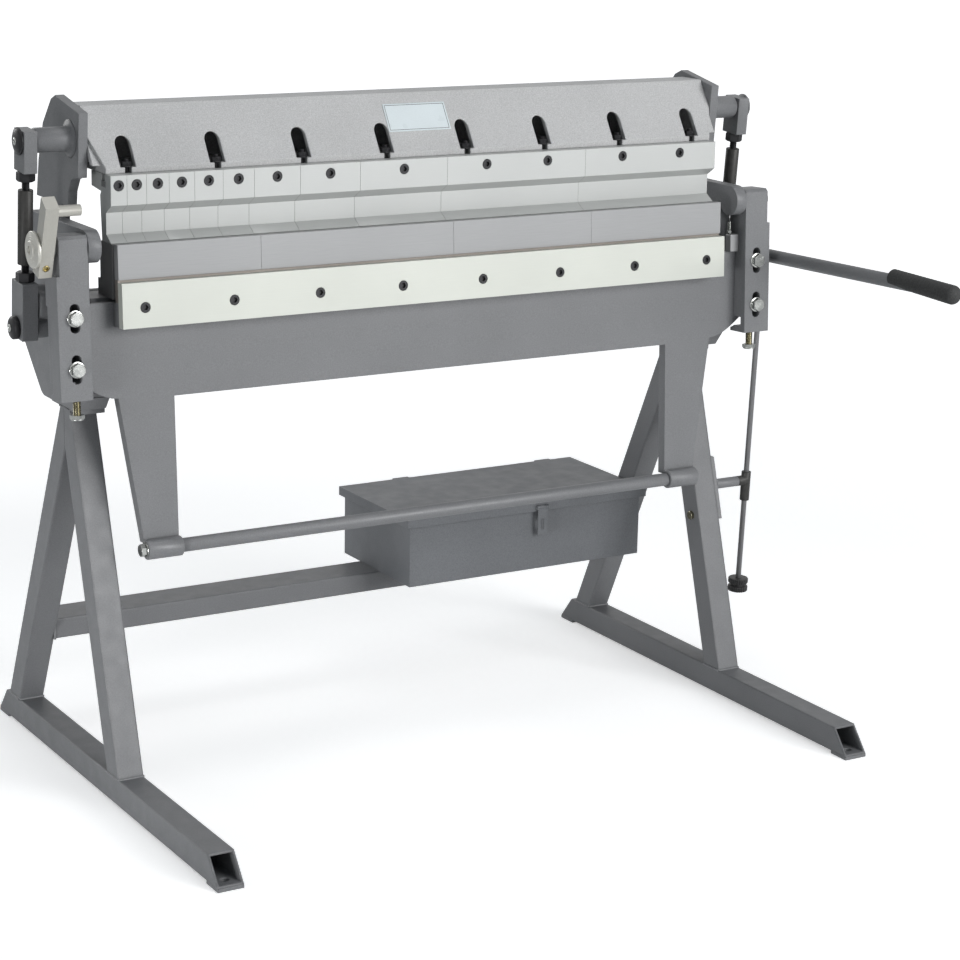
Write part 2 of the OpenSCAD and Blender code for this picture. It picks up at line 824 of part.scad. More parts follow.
// Guide of the stop rod, on the right front leg
function leg_mid_y(z) = front_leg_foot_y + front_run * (z - foot_top) + front_wy / 2;
module stop_guide() {
    low = guide_plate_z;
    high = low + guide_plate_len;
    color([0.20, 0.20, 0.21]) {
        difference() {
            slab(leg_x1, leg_x1 + guide_plate_t) polygon([
                [leg_mid_y(low) - tube_w / 2, low], [leg_mid_y(low) + tube_w / 2, low],
                [leg_mid_y(high) + tube_w / 2, high], [leg_mid_y(high) - tube_w / 2, high]
            ]);
            for (z = stop_bolt_z) translate([0, leg_mid_y(z), z])
                bar_x(leg_x1 - cut_over, leg_x1 + guide_plate_t + cut_over, stop_bolt_r);
        }
        translate([0, guide_y, guide_z]) {
            bar_x(leg_x1 + guide_plate_t, stop_x - guide_boss_gap, guide_r);
            bar_x(stop_x - guide_boss_gap, stop_x - stop_rod_r - guide_pin_gap, guide_pin_r);
        }
    }
}
module stop_guide_bolts() {
    color([0.78, 0.79, 0.78]) for (z = stop_bolt_z) translate([0, leg_mid_y(z), z]) {
        nut_x = leg_x1 + guide_plate_t;
        bar_x(leg_x0, nut_x + stop_nut_t + stop_bolt_tail, stop_bolt_r);
        hex_x(leg_x0 - stop_head_t, leg_x0, stop_bolt_af);
        hex_x(nut_x, nut_x + stop_nut_t, stop_bolt_af);
    }
}

// Folding leaf
module apron_outline() {
    ear_x = half_w + ear_out;
    ear = [for (i = [0:ear_steps])
        [ear_x - (ear_x - leg_out_top) * i / ear_steps,
         plate_bottom + ear_low + (ear_rise - ear_low) * (1 - sin(90 * i / ear_steps))]];
    half = concat(
        [[plate_half, plate_top], [plate_half, plate_bottom + ear_rise]], ear,
        [[leg_out_bottom, leg_bottom], [leg_in, leg_bottom], [leg_in, plate_bottom]]);
    other = [for (i = [len(half) - 1:-1:0]) [-half[i][0], half[i][1]]];
    polygon(concat(half, other));
}
module apron_plate() {
    color([0.52, 0.53, 0.54]) hang() difference() {
        translate([0, plate_y + apron_t, 0]) rotate([90, 0, 0]) linear_extrude(apron_t) apron_outline();
        both() {
            for (z = bracket_slot_z) translate([bracket_bolt_x, 0, z])
                bar_y(plate_y - cut_over, plate_y + apron_t + cut_over, bracket_bolt_r);
            translate([0, boss_y, boss_z]) bar_x(leg_in, boss_x1, boss_r);
        }
        bar_screw_holes(plate_y, plate_y + apron_t, bar_screw_r);
    }
}
module bar_screw_holes(y0, y1, r) {
    for (x = bolt_places) translate([x, 0, bar_screw_z]) bar_y(y0 - cut_over, y1 + cut_over, r);
}
module apron_backing() {
    color([0.40, 0.41, 0.42]) hang() difference() {
        block([-half_w, bar_y1, bar_bottom], [half_w, plate_y, plate_top - segment_gap]);
        bar_screw_holes(bar_y1, plate_y, bar_screw_r);
    }
}
module bending_bar() {
    color([0.86, 0.87, 0.85]) hang() difference() {
        block([-half_w, bar_y0, bar_bottom], [half_w, bar_y1, bar_top]);
        bar_screw_holes(bar_y0, bar_y1, bar_screw_r);
        for (x = bolt_places) translate([x, 0, bar_screw_z])
            bar_y(bar_y0 - cut_over, bar_y0 + bar_screw_head, bar_screw_head_r + hole_gap);
    }
}
module bending_bar_screws() {
    color([0.12, 0.12, 0.13]) hang() for (x = bolt_places) translate([x, 0, bar_screw_z]) {
        difference() {
            bar_y(bar_y0, bar_y0 + bar_screw_head, bar_screw_head_r);
            hex_y(bar_y0 - cut_over, bar_y0 + bar_screw_head / 2, bar_screw_head_r);
        }
        bar_y(bar_y0 + bar_screw_head, plate_y + apron_t, bar_screw_r);
    }
}
module leaf_edge_segments() {
    color([0.68, 0.69, 0.69]) hang() for (i = [0:len(edge_shares) - 1]) {
        x0 = place_of(edge_shares, i);
        x1 = place_of(edge_shares, i + 1);
        block([x0 + segment_gap / 2, -leaf_gap_y - edge_t, -edge_h],
              [x1 - segment_gap / 2, -leaf_gap_y, 0]);
    }
}
module leaf_tongue() {
    color([0.60, 0.60, 0.60]) hang()
        block([-half_w, bar_y1, plate_top - segment_gap], [half_w, -leaf_gap_y, -edge_h]);
}
module bracket_outline() {
    polygon([
        [bracket_y0, -bracket_drop], [ledge_y, -bracket_drop], [ledge_y, ledge_t / 2 - bracket_drop],
        [plate_y, ledge_t - bracket_drop], [plate_y, plate_top],
        [plate_y + apron_t - cut_over, plate_top], [plate_y + apron_t - cut_over, bracket_top],
        [bracket_y0 + bracket_chamfer, bracket_top], [bracket_y0, bracket_top - bracket_chamfer]
    ]);
}
module hinge_bracket() {
    color([0.50, 0.51, 0.52]) hang() difference() {
        slab(bracket_in, bracket_out) bracket_outline();
        block([bracket_out - bracket_shoulder_w, bracket_y0 - cut_over, bracket_shoulder_z],
              [bracket_out + cut_over, plate_y + apron_t, bracket_top + cut_over]);
        block([bracket_in - cut_over, notch_y, ledge_t - bracket_drop],
              [bracket_out - notch_wall, plate_y + cut_over, ledge_t + notch_h - bracket_drop]);
        bar_x(bracket_in - cut_over, bracket_out + cut_over, pivot_r + run_gap);
        for (z = bracket_slot_z) translate([bracket_bolt_x, 0, z]) {
            reach = (bracket_slot_len - bracket_slot_w) / 2;
            for (s = [-1, 1]) translate([0, 0, s * reach])
                bar_y(bracket_y0 - cut_over, plate_y + cut_over, bracket_slot_w / 2);
            block([-bracket_slot_w / 2, bracket_y0 - cut_over, -reach],
                  [bracket_slot_w / 2, plate_y + cut_over, reach]);
        }
        translate([adjust_x, adjust_y, -bracket_drop]) bar_z(-cut_over, adjust_depth, adjust_r);
    }
}
module left_hinge_bracket() {
    mirror([1, 0, 0]) hinge_bracket();
}
module right_hinge_bracket() {
    hinge_bracket();
}
module hinge_bracket_bolts() {
    color([0.82, 0.83, 0.82]) hang() both() for (z = bracket_slot_z) translate([bracket_bolt_x, 0, z]) {
        bar_y(bracket_y0, plate_y + apron_t, bracket_bolt_r);
        bar_y(bracket_y0 - washer_t, bracket_y0, washer_r);
        hex_y(bracket_y0 - washer_t - bolt_head_t, bracket_y0 - washer_t, bolt_af);
    }
}
module leaf_adjusting_screws() {
    color([0.78, 0.79, 0.78]) hang() both() translate([adjust_x, adjust_y, -bracket_drop]) {
        bar_z(-adjust_out, adjust_depth, adjust_r);
        hex_z(-adjust_out - adjust_head_t, -adjust_out, bolt_af);
    }
}
module leaf_tube_bosses() {
    color([0.50, 0.51, 0.52]) hang() translate([0, boss_y, boss_z]) difference() {
        both() bar_x(leg_in, boss_x1, boss_r);
        bar_x(-leg_in - tube_seat, leg_in + tube_seat, leaf_tube_r);
        bar_x(-boss_x1 - cut_over, -leg_in, bar_screw_r);
    }
}
module leaf_tube() {
    color([0.50, 0.51, 0.52]) hang() translate([0, boss_y, boss_z])
        bar_x(-leg_in - tube_seat, leg_in + tube_seat, leaf_tube_r);
}
module leaf_tube_bolt() {
    color([0.82, 0.83, 0.82]) hang() mirror([1, 0, 0]) translate([0, boss_y, boss_z]) {
        bar_x(leg_in + tube_seat, boss_x1, bar_screw_r);
        bar_x(boss_x1, boss_x1 + washer_t, washer_r);
        hex_x(boss_x1 + washer_t, boss_x1 + washer_t + bolt_head_t, small_bolt_af);
    }
}

// Stop arm on the left pivot pin
module on_arm() {
    translate([0, 0, axis_z]) rotate([arm_angle, 0, 0]) children();
}
module stop_arm() {
    far_x = -arm_x0 - arm_t;
    color([0.66, 0.65, 0.62]) on_arm() {
        difference() {
            union() {
                slab(far_x, -arm_x0) polygon([
                    [-arm_w, -arm_tail], [0, -arm_tail], [0, arm_len], [-arm_w, arm_len - arm_slant]
                ]);
                bar_x(far_x, -arm_x0, pivot_r + arm_hub_wall);
            }
            bar_x(far_x - cut_over, -arm_x0 + cut_over, pivot_r + run_gap);
            translate([far_x + arm_t / 2, -arm_w, arm_screw_rise - arm_tail])
                bar_y(-cut_over, arm_screw_depth, arm_screw_r);
        }
        translate([0, arm_pin_r - arm_w, arm_len - arm_pin_drop])
            bar_x(-arm_x0, -arm_x0 + arm_pin_len, arm_pin_r);
    }
}
module stop_arm_disc() {
    color([0.80, 0.80, 0.80]) translate([0, 0, axis_z]) difference() {
        union() {
            bar_x(-disc_x2, -disc_x0 - face_gap, disc_r);
            bar_x(-disc_x3, -disc_x2, disc_r - disc_step);
            bar_x(-disc_x4, -disc_x3, disc_r - 2 * disc_step);
        }
        bar_x(-disc_x1 - run_gap, -disc_x0, pivot_r);
        bar_x(-disc_x4 - cut_over, -disc_x1 - disc_floor, disc_r - 3 * disc_step);
    }
}

// Clamp shaft, its cranks and the lever
module clamp_shaft() {
    color([0.36, 0.36, 0.37]) translate([0, shaft_y, shaft_z]) bar_x(-web_x0, web_x0, shaft_r);
}
module crank_plate(x0, x1) {
    near_y = min(shaft_y, crank_pin_y);
    far_y = max(shaft_y, crank_pin_y);
    translate([0, shaft_y, shaft_z]) bar_x(x0, x1, shaft_r + crank_wall);
    translate([0, crank_pin_y, crank_pin_z]) bar_x(x0, x1, crank_pin_r + crank_pin_wall);
    slab(x0, x1) polygon([
        [near_y - crank_pin_r, crank_pin_z], [far_y + crank_pin_r, crank_pin_z],
        [far_y + shaft_r, shaft_z], [near_y - shaft_r, shaft_z]
    ]);
}
module crank_webs() {
    color([0.36, 0.36, 0.37]) both() difference() {
        crank_plate(web_x0, web_x1);
        translate([0, crank_pin_y, crank_pin_z]) bar_x(web_x0 - cut_over, web_x1 + cut_over, crank_pin_r);
    }
}
module crank_pins() {
    cap_x = link_x + foot_w / 2 + face_gap;
    color([0.25, 0.25, 0.26]) translate([0, crank_pin_y, crank_pin_z]) {
        bar_x(web_x0, hub_x1, crank_pin_r);
        bar_x(-cap_x, -web_x0, crank_pin_r);
        bar_x(-cap_x - cap_t, -cap_x, crank_pin_r + cap_lip);
    }
}
module lever_hub() {
    color([0.36, 0.37, 0.38]) difference() {
        crank_plate(hub_x0, hub_x1);
        translate([0, crank_pin_y, crank_pin_z]) bar_x(hub_x0 - cut_over, hub_x1 + cut_over, crank_pin_r);
        on_lever() bar_y(-lever_socket, 0, lever_r);
    }
}
module on_lever() {
    translate([lever_x, shaft_y, shaft_z - lever_drop]) rotate([-lever_rise, 0, 0]) children();
}
module clamp_lever() {
    color([0.40, 0.41, 0.43]) on_lever() bar_y(grip_end_t - lever_len, 0, lever_r);
}
module lever_grip() {
    color([0.10, 0.10, 0.10]) on_lever() difference() {
        union() {
            translate([0, -lever_len + grip_len, 0]) rotate([90, 0, 0])
                cylinder(h = grip_len - grip_r / 2, r1 = grip_r - grip_taper, r2 = grip_r);
            translate([0, -lever_len + grip_r / 2, 0]) rotate([90, 0, 0])
                cylinder(h = grip_r / 2, r1 = grip_r, r2 = grip_r / 2);
        }
        bar_y(grip_end_t - lever_len, grip_len + cut_over - lever_len, lever_r);
    }
}

// Links from the cranks up to the beam
module link_heads() {
    color([0.50, 0.51, 0.52]) both() on_link() difference() {
        block([link_x - head_w / 2, -head_half, link_len - head_below],
              [link_x + head_w / 2, head_half, link_len + head_above]);
        translate([0, 0, link_len]) bar_x(link_x - head_w, link_x + head_w, head_bore_r);
        translate([link_x, 0, 0])
            bar_z(link_len - head_below - cut_over, link_len - head_rod_gap, link_rod_r);
    }
}
module link_feet() {
    color([0.34, 0.35, 0.38]) both() on_link() difference() {
        block([link_x - foot_w / 2, -foot_half, -foot_below],
              [link_x + foot_w / 2, foot_half, foot_above]);
        bar_x(link_x - foot_w, link_x + foot_w, crank_pin_r + run_gap);
        translate([link_x, 0, 0]) bar_z(foot_rod_z, foot_above + cut_over, link_rod_r);
    }
}
module link_rods() {
    color([0.16, 0.16, 0.17]) both() on_link() translate([link_x, 0, 0]) {
        bar_z(foot_rod_z, turnbuckle_z0 + turnbuckle_thread, link_rod_r);
        bar_z(turnbuckle_z1 - turnbuckle_thread, link_len - head_rod_gap, link_rod_r);
    }
}
module turnbuckles() {
    color([0.12, 0.12, 0.12]) both() on_link() translate([link_x, 0, 0]) difference() {
        bar_z(turnbuckle_z0, turnbuckle_z1, turnbuckle_r);
        bar_z(turnbuckle_z0 - cut_over, turnbuckle_z0 + turnbuckle_thread, link_rod_r);
        bar_z(turnbuckle_z1 - turnbuckle_thread, turnbuckle_z1 + cut_over, link_rod_r);
    }
}
module link_nuts() {
    color([0.14, 0.14, 0.14]) both() on_link() translate([link_x, 0, 0]) {
        link_nut(foot_above);
        link_nut(link_len - head_below - link_nut_t);
    }
}
module link_nut(z0) {
    difference() {
        hex_z(z0, z0 + link_nut_t, link_nut_af);
        bar_z(z0 - cut_over, z0 + link_nut_t + cut_over, link_rod_r);
    }
}

// Clamping beam
module beam_profile() {
    inner_top = beam_top - beam_wall;
    inner_low_y = lip_y0 + beam_face_wy;
    inner_top_y = inner_low_y + face_run * (inner_top - lip_z1);
    polygon([
        [lip_y0, lip_z0], [lip_y0, lip_z1], [beam_face_top_y, beam_top], [beam_rear_y, beam_top],
        [beam_rear_y, beam_top - beam_rear_drop], [beam_rear_y - beam_wall, beam_top - beam_rear_drop],
        [beam_rear_y - beam_wall, inner_top], [inner_top_y, inner_top], [inner_low_y, lip_z1],
        [finger_back_y, lip_z1], [finger_back_y, lip_z0]
    ]);
}
module beam_box_profile() {
    inner_rear_y = beam_rear_y - beam_wall;
    inner_top = beam_top - beam_wall;
    inner_low_y = lip_y0 + beam_face_wy;
    inner_top_y = inner_low_y + face_run * (inner_top - lip_z1);
    difference() {
        polygon([
            [lip_y0, lip_z0], [lip_y0, lip_z1], [beam_face_top_y, beam_top],
            [beam_rear_y, beam_top], [beam_rear_y, lip_z0]
        ]);
        polygon([
            [inner_low_y, lip_z1], [inner_top_y, inner_top], [inner_rear_y, inner_top],
            [inner_rear_y, lip_z1]
        ]);
    }
}
module beam_web_profile() {
    polygon([
        [lip_y0, lip_z1], [beam_face_top_y, beam_top], [beam_rear_y, beam_top],
        [beam_rear_y, beam_top - beam_rear_drop], [finger_back_y, lip_z1]
    ]);
}
function cheek_y(z) = lip_y0 + cheek_back + face_run * (z - lip_z1);
module beam_cheek_profile() {
    high = beam_top - beam_wall;
    polygon([
        [cheek_y(cheek_low), cheek_low], [cheek_y(high), high],
        [cheek_y(high) + cheek_t, high], [cheek_y(cheek_low) + cheek_t, cheek_low]
    ]);
}
module beam_recess_profile() {
    back_y = finger_back_y + cut_over;
    polygon([
        [lip_y0 - cut_over, lip_z0 - cut_over], [back_y, lip_z0 - cut_over], [back_y, cheek_low],
        [cheek_y(cheek_low), cheek_low], [cheek_y(cheek_top), cheek_top], [lip_y0 - cut_over, cheek_top]
    ]);
}
module beam_taper() {
    back_y = finger_back_y + cut_over;
    translate([0, back_y, 0]) rotate([90, 0, 0]) linear_extrude(back_y - lip_y0 + cut_over) polygon([
        [lip_half, lip_z0 - cut_over], [beam_end_in + cut_over, lip_z0 - cut_over],
        [beam_end_in + cut_over, cheek_top], [beam_end_in, cheek_top], [lip_half, lip_z1]
    ]);
}
module beam_shell() {
    color([0.70, 0.70, 0.70]) difference() {
        union() {
            slab(-lip_half, lip_half) beam_box_profile();
            both() slab(lip_half - beam_web_t, beam_end_in) beam_profile();
            both() slab(lip_half - beam_web_t, lip_half) beam_web_profile();
            both() slab(lip_half - beam_web_t, beam_end_in) beam_cheek_profile();
        }
        both() intersection() {
            slab(lip_half, beam_end_in + cut_over) beam_recess_profile();
            beam_taper();
        }
        for (x = bolt_places) translate([x, 0, 0]) {
            far_y = beam_face_top_y;
            translate([0, 0, slot_top - slot_w / 2]) bar_y(lip_y0 - cut_over, far_y, slot_w / 2);
            block([-slot_w / 2, lip_y0 - cut_over, lip_z1], [slot_w / 2, far_y, slot_top - slot_w / 2]);
            block([-slit_w / 2, lip_y0 - cut_over, lip_z0 - cut_over],
                  [slit_w / 2, rail_cy + slit_w / 2, lip_z1 + cut_over]);
        }
    }
}
module end_outline() {
    polygon([for (share = end_shares)
        [lip_y0 + end_front + share[0] * end_d, end_z0 + share[1] * end_h]]);
}
module beam_end_plates() {
    color([0.50, 0.51, 0.52]) both() difference() {
        slab(beam_end_in, beam_end_out) end_outline();
        for (z = arm_bolt_z) translate([0, beam_pivot_y, z])
            bar_x(beam_end_in - cut_over, beam_end_out - arm_bolt_skin, arm_bolt_r);
    }
}
module beam_pivot_arms() {
    half = beam_pivot_r + arm_eye_wall;
    color([0.42, 0.43, 0.44]) both() {
        difference() {
            slab(beam_end_in - arm_plate_t, beam_end_in) union() {
                translate([beam_pivot_y, beam_pivot_z]) circle(r = half);
                translate([beam_pivot_y - half, beam_pivot_z])
                    square([2 * half - arm_plate_trim, arm_bolt_z[1] + arm_plate_over - beam_pivot_z]);
            }
            for (z = arm_bolt_z) translate([0, beam_pivot_y, z])
                bar_x(beam_end_in - arm_plate_t - cut_over, beam_end_in + cut_over, arm_bolt_r);
        }
        translate([0, beam_pivot_y, beam_pivot_z]) bar_x(beam_end_in, side_out + pivot_tail, beam_pivot_r);
    }
}
module beam_arm_bolts() {
    color([0.78, 0.79, 0.78]) both() for (z = arm_bolt_z) translate([0, beam_pivot_y, z]) {
        bar_x(beam_end_in - arm_plate_t, beam_end_out - arm_bolt_skin, arm_bolt_r);
        hex_x(beam_end_in - arm_plate_t - bolt_head_t, beam_end_in - arm_plate_t, small_bolt_af);
    }
}
module beam_trunnions() {
    head_x0 = link_x - head_w / 2;
    color([0.52, 0.53, 0.54]) both() translate([0, trunnion_y, trunnion_z]) {
        translate([beam_end_out, 0, 0]) rotate([0, 90, 0])
            cylinder(h = trunnion_root, r1 = trunnion_r + trunnion_root_lip, r2 = trunnion_r);
        bar_x(beam_end_out, head_x0 - face_gap, trunnion_r);
        bar_x(head_x0 - face_gap, link_x + head_w / 2 + face_gap, journal_r);
    }
}
module trunnion_caps() {
    x0 = link_x + head_w / 2 + face_gap;
    color([0.12, 0.12, 0.12]) both() translate([0, trunnion_y, trunnion_z]) {
        bar_x(x0, x0 + cap_disc_t, trunnion_cap_r);
        translate([x0 + cap_disc_t, 0, 0]) rotate([0, 90, 0])
            cylinder(h = cap_dome_h, r1 = trunnion_cap_r, r2 = trunnion_cap_top_r);
    }
}

// Fingers, their rail and its bolts
module finger_outline() {
    holder_z = finger_z1 - holder_h;
    block_z = finger_z1 - finger_block_h;
    back_y = bed_y0 + bed_d;
    difference() {
        polygon([
            [finger_nose_y, finger_z0], [finger_face_y, finger_z0 + blade_toe_h],
            [finger_face_y, holder_z - holder_slope_h], [finger_front_y, holder_z],
            [finger_front_y, finger_z1], [finger_back_y, finger_z1], [finger_back_y, block_z],
            [rail_y1 + rail_wall, block_z - block_slope_h],
            [back_y - heel_back, block_z - heel_drop], [back_y - sole_back, finger_z0]
        ]);
        translate([rail_y0, rail_z0]) square([rail_y1 - rail_y0, rail_z1 - rail_z0]);
        translate([rail_cy - throat_w / 2, rail_z0]) square([throat_w, finger_z1 - rail_z0 + cut_over]);
    }
}
function finger_x(i) = place_of(finger_widths, i);
function finger_w(i) = finger_x(i + 1) - finger_x(i);
function finger_mid(i) = finger_x(i) + finger_w(i) / 2;
function finger_screw_places(i) = finger_w(i) > two_screw_w
    ? [for (side = [-1, 1]) finger_mid(i) + side * screw_pair_share * finger_w(i)] : [finger_mid(i)];
module fingers(first, last) {
    color([0.84, 0.85, 0.83]) for (i = [first:last]) difference() {
        slab(finger_x(i) + segment_gap / 2, finger_x(i + 1) - segment_gap / 2) finger_outline();
        for (x = finger_screw_places(i)) translate([x, 0, finger_screw_z]) {
            bar_y(finger_front_y - cut_over, rail_y0 + cut_over, finger_screw_r);
            translate([0, finger_front_y, 0])
                bar_y(-cut_over, finger_screw_head, finger_screw_head_r + hole_gap);
        }
    }
}
module finger_screws() {
    head_y = finger_front_y + finger_screw_head;
    color([0.12, 0.12, 0.13]) for (i = [0:len(finger_widths) - 1]) for (x = finger_screw_places(i))
        translate([x, 0, finger_screw_z]) {
            difference() {
                bar_y(finger_front_y, head_y, finger_screw_head_r);
                hex_y(finger_front_y - cut_over, head_y - finger_screw_head / 2, finger_screw_head_r);
            }
            bar_y(head_y, rail_y0 + segment_gap, finger_screw_r);
        }
}
module narrow_fingers() {
    fingers(0, narrow_count - 1);
}
module medium_fingers() {
    fingers(narrow_count, narrow_count + medium_count - 1);
}
module wide_fingers() {
    fingers(narrow_count + medium_count, len(finger_widths) - 1);
}
module finger_rail() {
    color([0.60, 0.60, 0.60]) difference() {
        block([-half_w, rail_y0 + segment_gap, rail_z0 + segment_gap],
              [half_w, rail_y1 - segment_gap, rail_z1 - segment_gap]);
        for (x = bolt_places) translate([x, rail_cy, 0])
            bar_z(rail_z0 - cut_over, rail_z1 + cut_over, rail_bolt_r);
    }
}
module rail_bolts() {
    color([0.45, 0.45, 0.45]) for (x = bolt_places) translate([x, rail_cy, 0]) {
        bar_z(rail_z0 + segment_gap, lip_z1 + rail_nut_t + rail_bolt_tail, rail_bolt_r);
        hex_z(lip_z1, lip_z1 + rail_nut_t, rail_nut_af);
    }
}

// Stop rod, its sleeve and its knob
module stop_sleeve() {
    color([0.10, 0.10, 0.10]) on_rod() difference() {
        union() {
            bar_z(-sleeve_below, sleeve_len - sleeve_below, sleeve_r);
            bar_x(face_gap - guide_boss_gap, 0, guide_r);
        }
        bar_z(-sleeve_len, sleeve_len, stop_rod_r + run_gap);
        bar_x(-guide_boss_gap - cut_over, side_gap - stop_rod_r - guide_pin_gap, guide_pin_r + run_gap);
    }
}
module stop_rod() {
    color([0.35, 0.35, 0.36]) on_rod() {
        bar_z(-rod_down, rod_up, stop_rod_r);
        translate([0, 0, rod_up]) bar_x(side_gap - stop_out, stop_rod_r + eye_skin, eye_r);
    }
}
module stop_knob() {
    color([0.10, 0.10, 0.10]) on_rod() translate([0, 0, -rod_down]) difference() {
        union() {
            bar_z(0, knob_rim_h, knob_r);
            bar_z(knob_rim_h, knob_rim_h + knob_neck_h, knob_r - knob_neck_in);
            bar_z(knob_rim_h + knob_neck_h, knob_h, knob_r);
        }
        bar_z(-cut_over, knob_h + cut_over, stop_rod_r);
    }
}

foot_bars();
foot_pads();
front_legs();
rear_legs();
stand_top_plates();
cross_beam();
toolbox_body();
toolbox_hinge_pins();
toolbox_lid();
toolbox_hasp();
left_side_frame();
right_side_frame();
stand_bolts();
bed_channel();
bed_blade();
bed_screws();
leaf_pivot_pins();
stop_guide();
stop_guide_bolts();
apron_plate();
apron_backing();
bending_bar();
bending_bar_screws();
leaf_edge_segments();
leaf_tongue();
left_hinge_bracket();
right_hinge_bracket();
hinge_bracket_bolts();
leaf_adjusting_screws();
leaf_tube();
leaf_tube_bosses();
leaf_tube_bolt();
stop_arm();
stop_arm_disc();
clamp_shaft();
crank_webs();
crank_pins();
lever_hub();
clamp_lever();
lever_grip();
link_heads();
link_rods();
turnbuckles();
link_nuts();
link_feet();
beam_shell();
beam_end_plates();
beam_pivot_arms();
beam_arm_bolts();
beam_trunnions();
trunnion_caps();
finger_rail();
rail_bolts();
narrow_fingers();
medium_fingers();
wide_fingers();
finger_screws();
stop_sleeve();
stop_rod();
stop_knob();
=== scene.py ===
# %% [markdown]
# # Dressing a box and pan brake
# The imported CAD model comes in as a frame: it stays where it is, and every piece that is added rides on
# one of its bodies. The frame knows every size, so nearly all places below are read from it. Sizes are in
# millimetres, apart from those of the studio and of the materials, which are in metres.

# %% Load the frame
import json
import math

import bmesh
import bpy
import numpy as np
from mathutils import Matrix, Vector


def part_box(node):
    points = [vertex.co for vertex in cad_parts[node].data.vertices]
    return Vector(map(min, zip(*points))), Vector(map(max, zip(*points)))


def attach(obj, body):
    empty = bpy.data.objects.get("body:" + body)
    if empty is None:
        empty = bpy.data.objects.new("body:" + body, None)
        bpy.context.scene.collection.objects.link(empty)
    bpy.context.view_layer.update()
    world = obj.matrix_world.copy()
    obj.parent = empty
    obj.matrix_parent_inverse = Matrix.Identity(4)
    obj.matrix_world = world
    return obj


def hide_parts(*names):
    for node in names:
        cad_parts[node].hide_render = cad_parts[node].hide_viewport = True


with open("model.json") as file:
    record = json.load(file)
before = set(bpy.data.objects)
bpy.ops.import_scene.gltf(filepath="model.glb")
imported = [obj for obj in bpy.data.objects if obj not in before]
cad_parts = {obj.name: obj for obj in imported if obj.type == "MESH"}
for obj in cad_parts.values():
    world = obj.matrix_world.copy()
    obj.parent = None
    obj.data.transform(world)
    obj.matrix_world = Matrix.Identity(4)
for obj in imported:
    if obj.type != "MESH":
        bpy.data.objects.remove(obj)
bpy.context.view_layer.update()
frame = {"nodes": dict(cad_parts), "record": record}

MM = 0.001
nodes = frame["nodes"]
print("nodes in the frame:", len(nodes))

# %% [markdown]
# ## The camera
# The camera could be placed by eye, but a photograph's vanishing points give its turn, tilt and focal
# length outright. It looks along `forward`; `right` is level, and the roll turns the picture a little
# about the line of sight.

# %% Camera
FOCAL_PX = 2565.0
PICTURE_PX = 960.0
SENSOR_MM = 36.0
CAMERA_MM = (-1931.0, -3359.5, 1430.0)
YAW, PITCH, ROLL = math.radians(31.04), math.radians(14.61), math.radians(1.20)


def camera_axes(yaw, pitch, roll):
    """Rows right, down and forward: forward = (sin yaw cos pitch, cos yaw cos pitch, -sin pitch)."""
    level = math.cos(pitch)
    forward = np.array([math.sin(yaw) * level, math.cos(yaw) * level, -math.sin(pitch)])
    right = np.array([math.cos(yaw), -math.sin(yaw), 0.0])
    down = np.cross(forward, right)
    turn = np.array([[math.cos(roll), -math.sin(roll), 0],
                     [math.sin(roll), math.cos(roll), 0],
                     [0, 0, 1]])
    return turn @ np.array([right, down, forward])


def add_camera():
    """The photograph's camera: its lens is the focal length over the picture's width, times the sensor."""
    right, down, forward = camera_axes(YAW, PITCH, ROLL)
    data = bpy.data.cameras.new("camera")
    data.sensor_width = SENSOR_MM
    data.lens = FOCAL_PX / PICTURE_PX * SENSOR_MM
    camera = bpy.data.objects.new("camera", data)
    place = np.eye(4)
    place[:3, :3] = np.array([right, -down, -forward]).T
    place[:3, 3] = np.array(CAMERA_MM) * MM
    camera.matrix_world = Matrix(place.tolist())
    bpy.context.scene.collection.objects.link(camera)
    bpy.context.scene.camera = camera
    return camera


camera = add_camera()
print("lens in mm:", round(camera.data.lens, 2))

# %% [markdown]
# ## The studio
# The machine stands in a white studio. A picture of a studio could light it, but lamps are easier to aim.
# The world is white where the camera sees it, a little less in a reflection, and much dimmer and bluer as
# a light, so that faces which look away from the lamps stay dark.

# %% Nodes of a material
def add_node(tree, kind, inputs=None, **settings):
    """A shader node of that kind; inputs names sockets and gives a value or another node's socket."""
    node = tree.nodes.new(kind)
    for name, value in settings.items():
        setattr(node, name, value)
    for name, value in (inputs or {}).items():
        if isinstance(value, bpy.types.NodeSocket):
            tree.links.new(value, node.inputs[name])
        else:
            node.inputs[name].default_value = value
    return node


# %% World
WHITE = (1, 1, 1, 1)
WORLD_LIGHT = 0.17
WORLD_SHINE = 0.75
WORLD_TINT = (0.80, 0.91, 1.0, 1.0)


def set_world():
    """White for camera rays, white times the shine for glossy rays, the tint times the light for the rest."""
    world = bpy.data.worlds.new("studio")
    bpy.context.scene.world = world
    world.use_nodes = True
    tree = world.node_tree
    tree.nodes.clear()
    path = add_node(tree, "ShaderNodeLightPath")
    light = add_node(tree, "ShaderNodeBackground", {"Color": WORLD_TINT, "Strength": WORLD_LIGHT})
    shine = add_node(tree, "ShaderNodeBackground", {"Color": WHITE, "Strength": WORLD_SHINE})
    white = add_node(tree, "ShaderNodeBackground", {"Color": WHITE, "Strength": 1.0})
    glossy = add_node(tree, "ShaderNodeMixShader", {
        0: path.outputs["Is Glossy Ray"], 1: light.outputs[0], 2: shine.outputs[0]})
    seen = add_node(tree, "ShaderNodeMixShader", {
        0: path.outputs["Is Camera Ray"], 1: glossy.outputs[0], 2: white.outputs[0]})
    add_node(tree, "ShaderNodeOutputWorld", {"Surface": seen.outputs[0]})


bpy.context.scene.view_settings.view_transform = "Standard"
set_world()
print("world light and shine:", WORLD_LIGHT, WORLD_SHINE)

